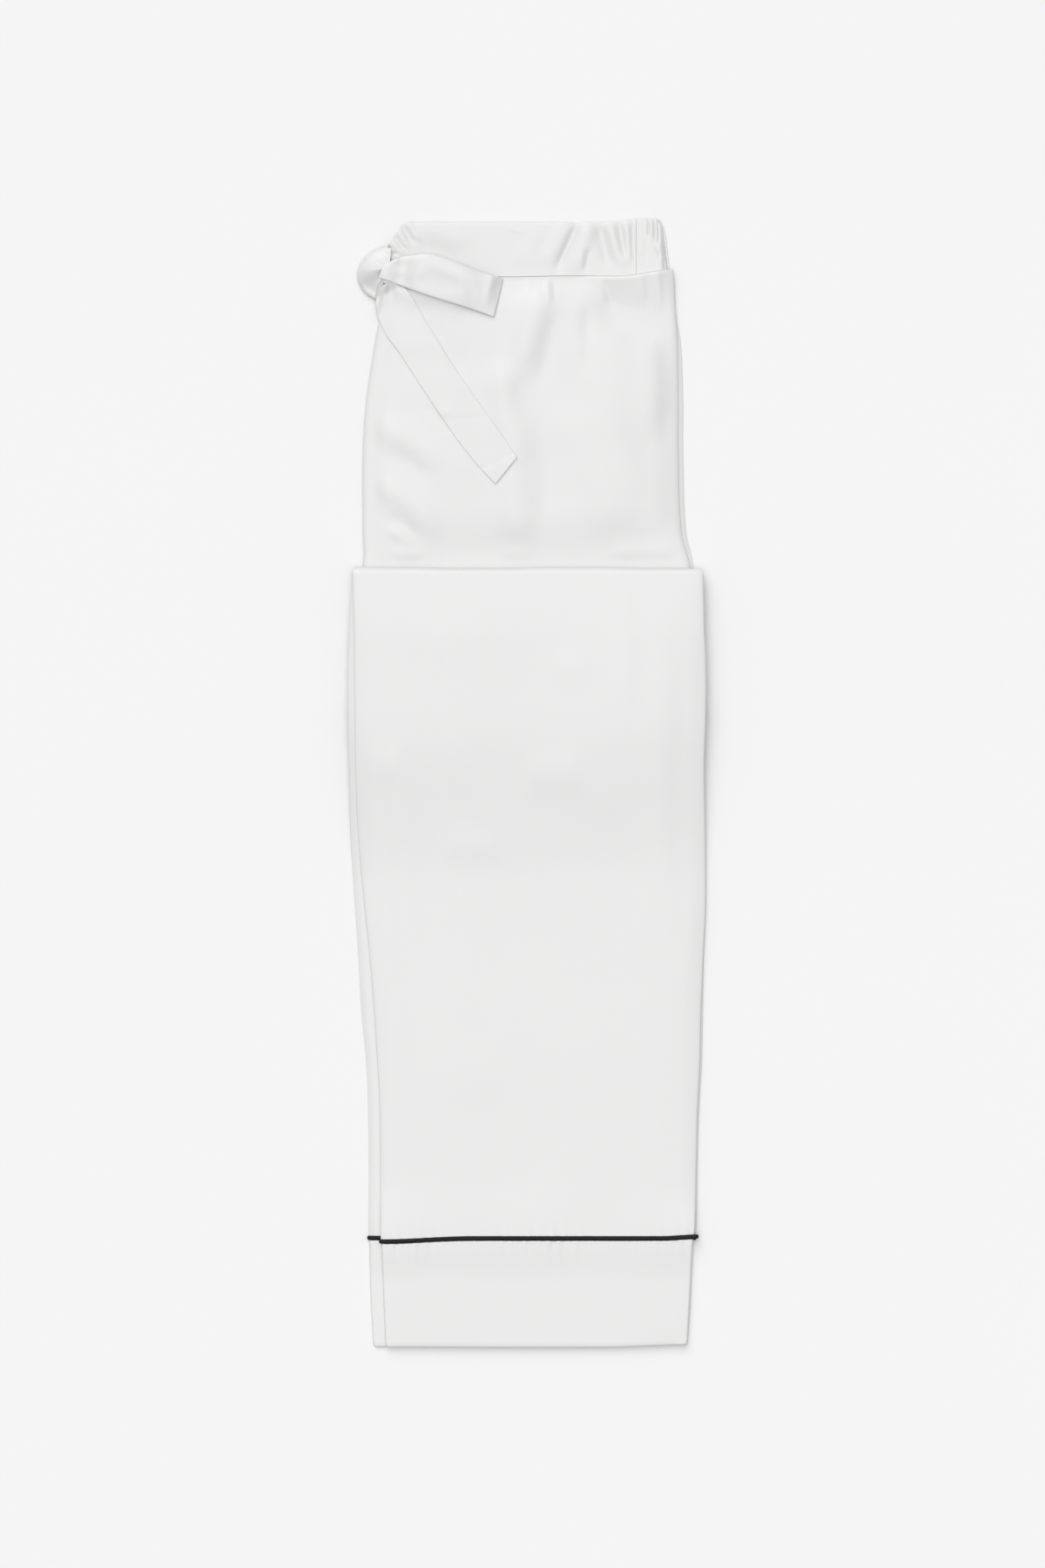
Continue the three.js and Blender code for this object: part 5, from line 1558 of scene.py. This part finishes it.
    def knot(self) -> bpy.types.Object:
        """Knot: a low, broad wrap with soft pleats, closed at both ends.

        Its ring runs as a power of the sine of the tilt, cut by pleats that are cosines of the turn.

        Returns:
            The piece that replaces tie_knot.
        """
        rows, columns = self.knot_rows, self.knot_columns
        tilt = np.linspace(0.02, math.pi - 0.02, rows)[:, None]
        turn = np.linspace(0, 2 * math.pi, columns, endpoint=False)[None, :]
        pleat = 1 + 0.02 * np.cos(turn * 7 + 1.4 * np.cos(tilt)) + 0.012 * np.cos(turn * 11 + tilt * 2)
        ring = np.sin(tilt) ** 0.8 * pleat
        x = self.knot_x + 0.2 + self.knot_half_wide * ring * np.cos(turn) + 1.2 * np.cos(tilt)
        y = self.knot_y - 3.2 + self.knot_half_long * np.cos(tilt) + 0 * turn
        z = self.knot_z + self.knot_half_tall * ring * np.sin(turn)
        points = np.stack([x, y, z], -1)
        caps = np.array([points[0].mean(axis=0), points[-1].mean(axis=0)])
        quads = grid_quads(rows, columns, wrap_columns=True)
        count = rows * columns
        half = np.arange(0, columns, 2)
        before, after = (half - 1) % columns, (half + 1) % columns
        first = np.stack([after, half, before, np.full_like(half, count)], -1)
        base = count - columns
        last = np.stack([before + base, half + base, after + base, np.full_like(half, count + 1)], -1)
        vertices = np.concatenate([points.reshape(-1, 3), caps])
        around = np.broadcast_to(turn * 6, x.shape).ravel()
        along = np.broadcast_to(tilt * 8, x.shape).ravel()
        uv = np.concatenate([np.stack([around, along], -1), [[0, 0], [0, 25]]])
        piece = add_mesh("sash_knot", vertices, np.concatenate([quads, first, last]), uv)
        self.wardrobe.dress(piece, self.wardrobe.sash, Slot.SATIN)
        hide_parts("tie_knot")
        return piece

    def build(self) -> None:
        """Builds and dresses the bow."""
        self.tail()
        self.loop_front()
        self.loop_side()
        self.knot()


@dataclass(frozen=True)
class CuffSizes:
    """Heights of one cuff's under and upper face at its hem and at its seam, and its side edges."""

    name: str
    node: str
    hem_low: float
    hem_high: float
    seam_low: float
    seam_high: float
    left: str
    right: str
    inset: float
    follows: bool


@dataclass
class Cuffs:
    """Turned cuffs: flattened tubes with a pressed hem."""

    wardrobe: Wardrobe
    near: CuffSizes = CuffSizes(
        "left_cuff", "cuff_left", hem_low=2.6, hem_high=4.9, seam_low=3.7, seam_high=6.7,
        left="left", right="right", inset=0.0, follows=True,
    )
    far: CuffSizes = CuffSizes(
        "right_cuff", "cuff_right", hem_low=0.0, hem_high=2.3, seam_low=0.0, seam_high=3.2,
        left="outer_left", right="outer_right", inset=0.8, follows=False,
    )
    cloth: float = 0.9
    swell_run: float = 0.4
    columns: int = 110
    rows: int = 70
    swells: GentleWaves = GentleWaves(21, 6, 120, 40, 0.22)
    corner_radius: float = 1.2
    hem_press: float = 0.25

    def heights(self, sizes: CuffSizes, t: Array) -> tuple[Array, Array]:
        """Under and upper face at a share of the way from the seam to the hem."""
        swell = smoothstep(self.swell_run - t, 0, self.swell_run)
        return lerp(sizes.hem_low, sizes.seam_low, swell), lerp(sizes.hem_high, sizes.seam_high, swell)

    def top(self, x: Array, y: Array, t: Array) -> Array:
        """Relief of a cuff's upper face: puckers at the seam, slow swells and a faint pressed hem."""
        pucker = LegForm().puckers(x + 3.1, 2 * PIPING_LINE - y) * 0.9
        calm = smoothstep(t, 0.1, 0.4)
        slow = np.maximum(self.swells.height(x, y) + 0.1, 0) * calm * (1 - smoothstep(t, 0.8, 1))
        return pucker + slow - self.hem_press * smoothstep(t, 0.96, 1)

    def cuff(self, sizes: CuffSizes) -> bpy.types.Object:
        """One cuff: a flat loop at each row, along the top, round the side and back along the bottom.

        Args:
            sizes: which cuff.

        Returns:
            The piece that replaces its node.
        """
        seam = np.linspace(0, 0.1, 14)[:-1]
        t = np.concatenate([seam, np.linspace(0.1, 0.97, self.rows), [0.985, 0.995, 1.0]])
        y = lerp(CUFF_START, HEM_LINE, t)
        low, high = self.heights(sizes, t)
        low, high = low + self.cloth / 2, high - self.cloth / 2
        radius = (high - low) / 2
        corner = self.corner_radius * smoothstep(t, 0.965, 1) ** 2
        left = LEG_EDGES.read(sizes.left, y) + self.cloth / 2 + corner
        right = LEG_EDGES.read(sizes.right, y) - self.cloth / 2 - sizes.inset - corner
        run = np.linspace(0, 1, self.columns)
        arc = np.linspace(0, math.pi, 9)[1:-1]
        r = radius[:, None]
        mid = ((low + high) / 2)[:, None]
        first, last = (left + radius)[:, None], (right - radius)[:, None]
        side, tall = r * np.sin(arc)[None, :], r * np.cos(arc)[None, :]
        x_top = lerp(first, last, run[None, :])
        x = np.concatenate([x_top, last + side, x_top[:, ::-1], first - side], axis=1)
        z = np.concatenate([by_row(high, x_top), mid + tall, by_row(low, x_top), mid - tall], axis=1)
        on_top = np.zeros(x.shape[1])
        on_top[: self.columns] = smoothstep(np.minimum(run, 1 - run), 0, 0.04)
        y2, t2 = by_row(y, x), by_row(t, x)
        z = z + on_top[None, :] * self.top(x, y2, t2)
        seam = piping_shift(x) * (1 - t2) if sizes.follows else 0.0
        hem = smoothstep(t2, 0.6, 1) * (-0.5 * np.exp(-((x / 90) ** 2)) + 1.6 * smoothstep(x, 60, 120))
        middle = np.stack([x, y2 + seam + hem, z], -1)
        piece = cloth_shell(sizes.name, middle, self.cloth, wrap=True, rims=(3, 0))
        self.wardrobe.dress(piece, self.wardrobe.satin, Slot.SATIN)
        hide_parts(sizes.node)
        return piece

    def build(self) -> None:
        """Builds and dresses both cuffs."""
        self.cuff(self.near)
        self.cuff(self.far)


@dataclass(frozen=True)
class PipingSizes:
    """One piping ring: heights and half heights of its two runs, and its ends."""

    name: str
    node: str
    low: float
    low_half: float
    high: float
    high_half: float
    left: float
    right: float
    follows: bool


@dataclass
class Piping:
    """Black covered cords, sewn into the cuff seams round both legs."""

    wardrobe: Wardrobe
    near: PipingSizes = PipingSizes(
        "left_piping", "piping_left", low=4.3, low_half=0.6, high=6.5, high_half=1.2,
        left=-109.4, right=127.2, follows=True,
    )
    far: PipingSizes = PipingSizes(
        "right_piping", "piping_right", low=0.6, low_half=0.6, high=2.5, high_half=0.9,
        left=-118.4, right=126.0, follows=False,
    )
    sides: int = 20
    run_steps: int = 260
    turn_steps: int = 10
    ripple: float = 0.035
    sway: float = 0.18

    def ring(self, sizes: PipingSizes) -> bpy.types.Object:
        """One ring: an oval section carried along the top, round the side, back below and round again.

        Args:
            sizes: which ring.

        Returns:
            The piece that replaces its node.
        """
        radius = (sizes.high - sizes.low) / 2
        centre = (sizes.high + sizes.low) / 2
        run = np.linspace(sizes.left + radius, sizes.right - radius, self.run_steps)
        back = np.linspace(sizes.right - radius, sizes.left + radius, self.run_steps // 3)
        arc = np.linspace(0, math.pi, self.turn_steps + 1)[1:-1]
        x0 = np.concatenate([run, np.full_like(arc, run[-1]), back, np.full_like(arc, run[0])])
        turn = np.concatenate([
            np.full_like(run, math.pi / 2), math.pi / 2 - arc,
            np.full_like(back, -math.pi / 2), -math.pi / 2 - arc,
        ])[:, None]
        up = (np.sin(turn) + 1) / 2
        half = lerp(sizes.low_half, sizes.high_half, up)
        angle = np.linspace(0, 2 * math.pi, self.sides, endpoint=False)[None, :]
        place = x0[:, None]
        ripple = 1 + up * self.ripple * np.sin(place * 1.9 + 2 * np.sin(place * 0.21))
        out = radius + half * np.cos(angle) * ripple
        x = place + np.cos(turn) * out
        line = piping_shift(x) if sizes.follows else 0.0
        sway = up * self.sway * np.sin(place * 0.16 + 1.2 * np.sin(place * 0.05))
        y = PIPING_LINE + line + sway + PIPING_WIDTH / 2 * np.sin(angle) * ripple
        z = centre + np.sin(turn) * out
        along = by_row(np.cumsum(np.hypot(np.gradient(x0), np.gradient(turn[:, 0]) * radius)), x)
        uv = np.stack([np.broadcast_to(angle * PIPING_WIDTH / 2, x.shape), along], -1)
        piece = closed_tube(sizes.name, np.stack([x, y, z], -1), uv)
        self.wardrobe.dress(piece, self.wardrobe.piping, Slot.PIPING)
        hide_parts(sizes.node)
        return piece

    def build(self) -> None:
        """Builds and dresses both rings."""
        self.ring(self.near)
        self.ring(self.far)


@dataclass
class Stitching:
    """Thread that shows: a row under the piping, and a double row at the elastic's end.

    uprights holds x and the lowest y of the double row, zigzag the x, y and heading of four more stitches.
    """

    wardrobe: Wardrobe
    band: Waistband
    cuffs: Cuffs
    length: float = 1.5
    pitch: float = 2.05
    thick: float = 0.32
    dip: float = 0.12
    proud: float = 0.02
    under_piping: float = 1.9
    sides: int = 6
    steps: int = 5
    uprights: tuple[tuple[float, float], ...] = ((83.2, 393.6), (86.0, 394.4))
    zigzag: tuple[tuple[float, float, float], ...] = (
        (83.6, 392.6, -0.5), (85.0, 392.4, 0.5), (84.2, 391.0, -0.6), (85.8, 390.6, 0.4),
    )

    def stitches(self, name: str, centres: Array, headings: Array) -> bpy.types.Object:
        """Joins many small stitches, each a six-sided lozenge that dips at both ends.

        Args:
            name: the piece's name.
            centres: place of each stitch.
            headings: its direction in the XY plane.

        Returns:
            The joined piece.
        """
        sides, steps = self.sides, self.steps
        s = np.linspace(-0.5, 0.5, steps)
        angle = np.linspace(0, 2 * math.pi, sides, endpoint=False)
        swell = np.sqrt(np.clip(1 - (2 * s) ** 2, 0.06, 1))
        local_x = np.broadcast_to((s * self.length)[:, None], (steps, sides))
        local_y = swell[:, None] * self.thick / 2 * np.cos(angle)[None, :]
        local_z = swell[:, None] * self.thick / 2 * np.sin(angle)[None, :] - self.dip * (2 * s[:, None]) ** 2
        c, d = np.cos(headings)[:, None, None], np.sin(headings)[:, None, None]
        x = centres[:, 0, None, None] + c * local_x - d * local_y
        y = centres[:, 1, None, None] + d * local_x + c * local_y
        z = centres[:, 2, None, None] + np.broadcast_to(local_z, x.shape)
        vertices = np.stack([x, y, z], -1).reshape(-1, 3)
        side = grid_quads(steps, sides, wrap_columns=True)
        ends = []
        for base in (0, (steps - 1) * sides):
            ring = [base + k for k in range(sides)]
            faces = [[ring[0], ring[1], ring[2], ring[3]], [ring[0], ring[3], ring[4], ring[5]]]
            ends += [f[::-1] for f in faces] if base == 0 else faces
        one = np.concatenate([side, np.array(ends)])
        many = (np.arange(len(centres)) * steps * sides)[:, None, None] + one[None]
        uv = np.tile(np.stack([local_y.ravel(), local_x.ravel()], -1), (len(centres), 1))
        piece = add_mesh(name, vertices, many.reshape(-1, 4), uv)
        self.wardrobe.dress(piece, self.wardrobe.thread, Slot.SATIN)
        return piece

    def cuff_row(self) -> bpy.types.Object:
        """Row of thread on the left cuff, just under the piping."""
        x = np.arange(-105.5, 121, self.pitch)
        line = CUFF_START - self.under_piping
        y = np.full_like(x, line)
        t = np.full_like(x, (CUFF_START - line) / (CUFF_START - HEM_LINE))
        _, high = self.cuffs.heights(self.cuffs.near, t)
        z = high + self.cuffs.top(x, y, t) + self.proud
        centres = np.stack([x, y + piping_shift(x) * (1 - t), z], -1)
        return self.stitches("cuff_stitches", centres, np.zeros_like(x))

    def elastic_rows(self) -> bpy.types.Object:
        """Two upright rows and a small zigzag that hold the elastic's end."""
        parts = []
        for x0, y1 in self.uprights:
            y = np.arange(y1, 417, self.pitch)
            parts.append(np.stack([np.full_like(y, x0), y, np.full_like(y, math.pi / 2)], -1))
        rows = np.concatenate([*parts, np.array(self.zigzag)])
        x, y = rows[:, 0], rows[:, 1]
        z = self.band.near_top - 0.05 + creased(self.band.grooves, x, y) + self.proud
        up = (y - BAND_SEAM) / (self.band.top - BAND_SEAM)
        shift = lerp(band_seam_shift(x), self.band.top_shift(x), up)
        return self.stitches("elastic_stitches", np.stack([x, y + shift, z], -1), rows[:, 2])

    def build(self) -> None:
        """Builds and dresses both rows."""
        self.cuff_row()
        self.elastic_rows()


@dataclass(frozen=True)
class SoftLight:
    """A far, broad light: its power, its breadth, its tilt off straight down and where it comes from."""

    name: str
    power: float
    breadth: float
    tilt: float
    from_angle: float

    def hang(self) -> None:
        """Puts the light into the scene. Angles are in degrees, from_angle anticlockwise from +X."""
        data = bpy.data.lights.new(self.name, "SUN")
        data.energy, data.angle = self.power, math.radians(self.breadth)
        made = bpy.data.objects.new(self.name, data)
        made.location = (0, 0, 2)
        made.rotation_euler = (math.radians(self.tilt), 0, math.radians(self.from_angle + 90))
        bpy.context.scene.collection.objects.link(made)


@dataclass
class Studio:
    """Plain pale floor, soft light and a camera that looks straight down."""

    pixel: float = 0.65
    pixels_high: int = 1800
    middle_x: float = -3.25
    middle_y: float = -1.0
    distance: float = 5.0
    floor_grey: float = 0.80
    world: float = 0.44
    sensor: float = 36.0
    floor_half: float = 6000.0
    floor_drop: float = 0.05
    key: SoftLight = SoftLight("key", power=1.35, breadth=45.0, tilt=50.0, from_angle=110.0)
    overhead: SoftLight = SoftLight("overhead", power=1.34, breadth=54.0, tilt=3.0, from_angle=120.0)

    def camera(self) -> None:
        """Camera over the middle of the photo's frame, its long side 1800 pixels of 0.65 mm."""
        data = bpy.data.cameras.new("camera")
        data.sensor_width = self.sensor
        data.lens = data.sensor_width * self.distance / (self.pixels_high * self.pixel * MM)
        data.clip_start, data.clip_end = 0.05, 50
        made = bpy.data.objects.new("camera", data)
        made.location = (self.middle_x * MM, self.middle_y * MM, self.distance)
        bpy.context.scene.collection.objects.link(made)
        bpy.context.scene.camera = made

    def floor(self) -> None:
        """Large flat floor just under the garment."""
        line = np.linspace(-self.floor_half, self.floor_half, 7)
        x, y = np.meshgrid(line, line, indexing="ij")
        points = np.stack([x, y, np.full_like(x, -self.floor_drop)], -1)
        made = add_mesh("floor", points.reshape(-1, 3), grid_quads(7, 7))
        mesh = made.data
        if mesh.polygons[0].normal.z < 0:
            mesh.flip_normals()
        mesh.materials.append(FloorFinish("pale_paper", self.floor_grey).make())

    def lights(self) -> None:
        """Even sky, one broad light overhead and a soft key from the upper left of the photo."""
        world = bpy.data.worlds.new("studio")
        world.use_nodes = True
        sky = world.node_tree.nodes["Background"]
        sky.inputs[0].default_value = (1, 1, 1, 1)
        sky.inputs[1].default_value = self.world
        bpy.context.scene.world = world
        self.key.hang()
        self.overhead.hang()

    def build(self) -> None:
        """Sets up the camera, the floor and the lights."""
        bpy.context.scene.view_settings.view_transform = "Standard"
        self.camera()
        self.floor()
        self.lights()


def main() -> None:
    """Builds the studio, then the garment from the panels out to the bow."""
    logging.basicConfig(level=logging.INFO, format="%(name)s %(message)s")
    Studio().build()
    wardrobe = Wardrobe()
    body = BodyForm()
    Panels(wardrobe, body).build()
    band = Waistband(wardrobe)
    band.build()
    Sash(wardrobe, Ground(body, band)).build()
    cuffs = Cuffs(wardrobe)
    cuffs.build()
    Piping(wardrobe).build()
    Stitching(wardrobe, band, cuffs).build()


if __name__ == "__main__":
    main()
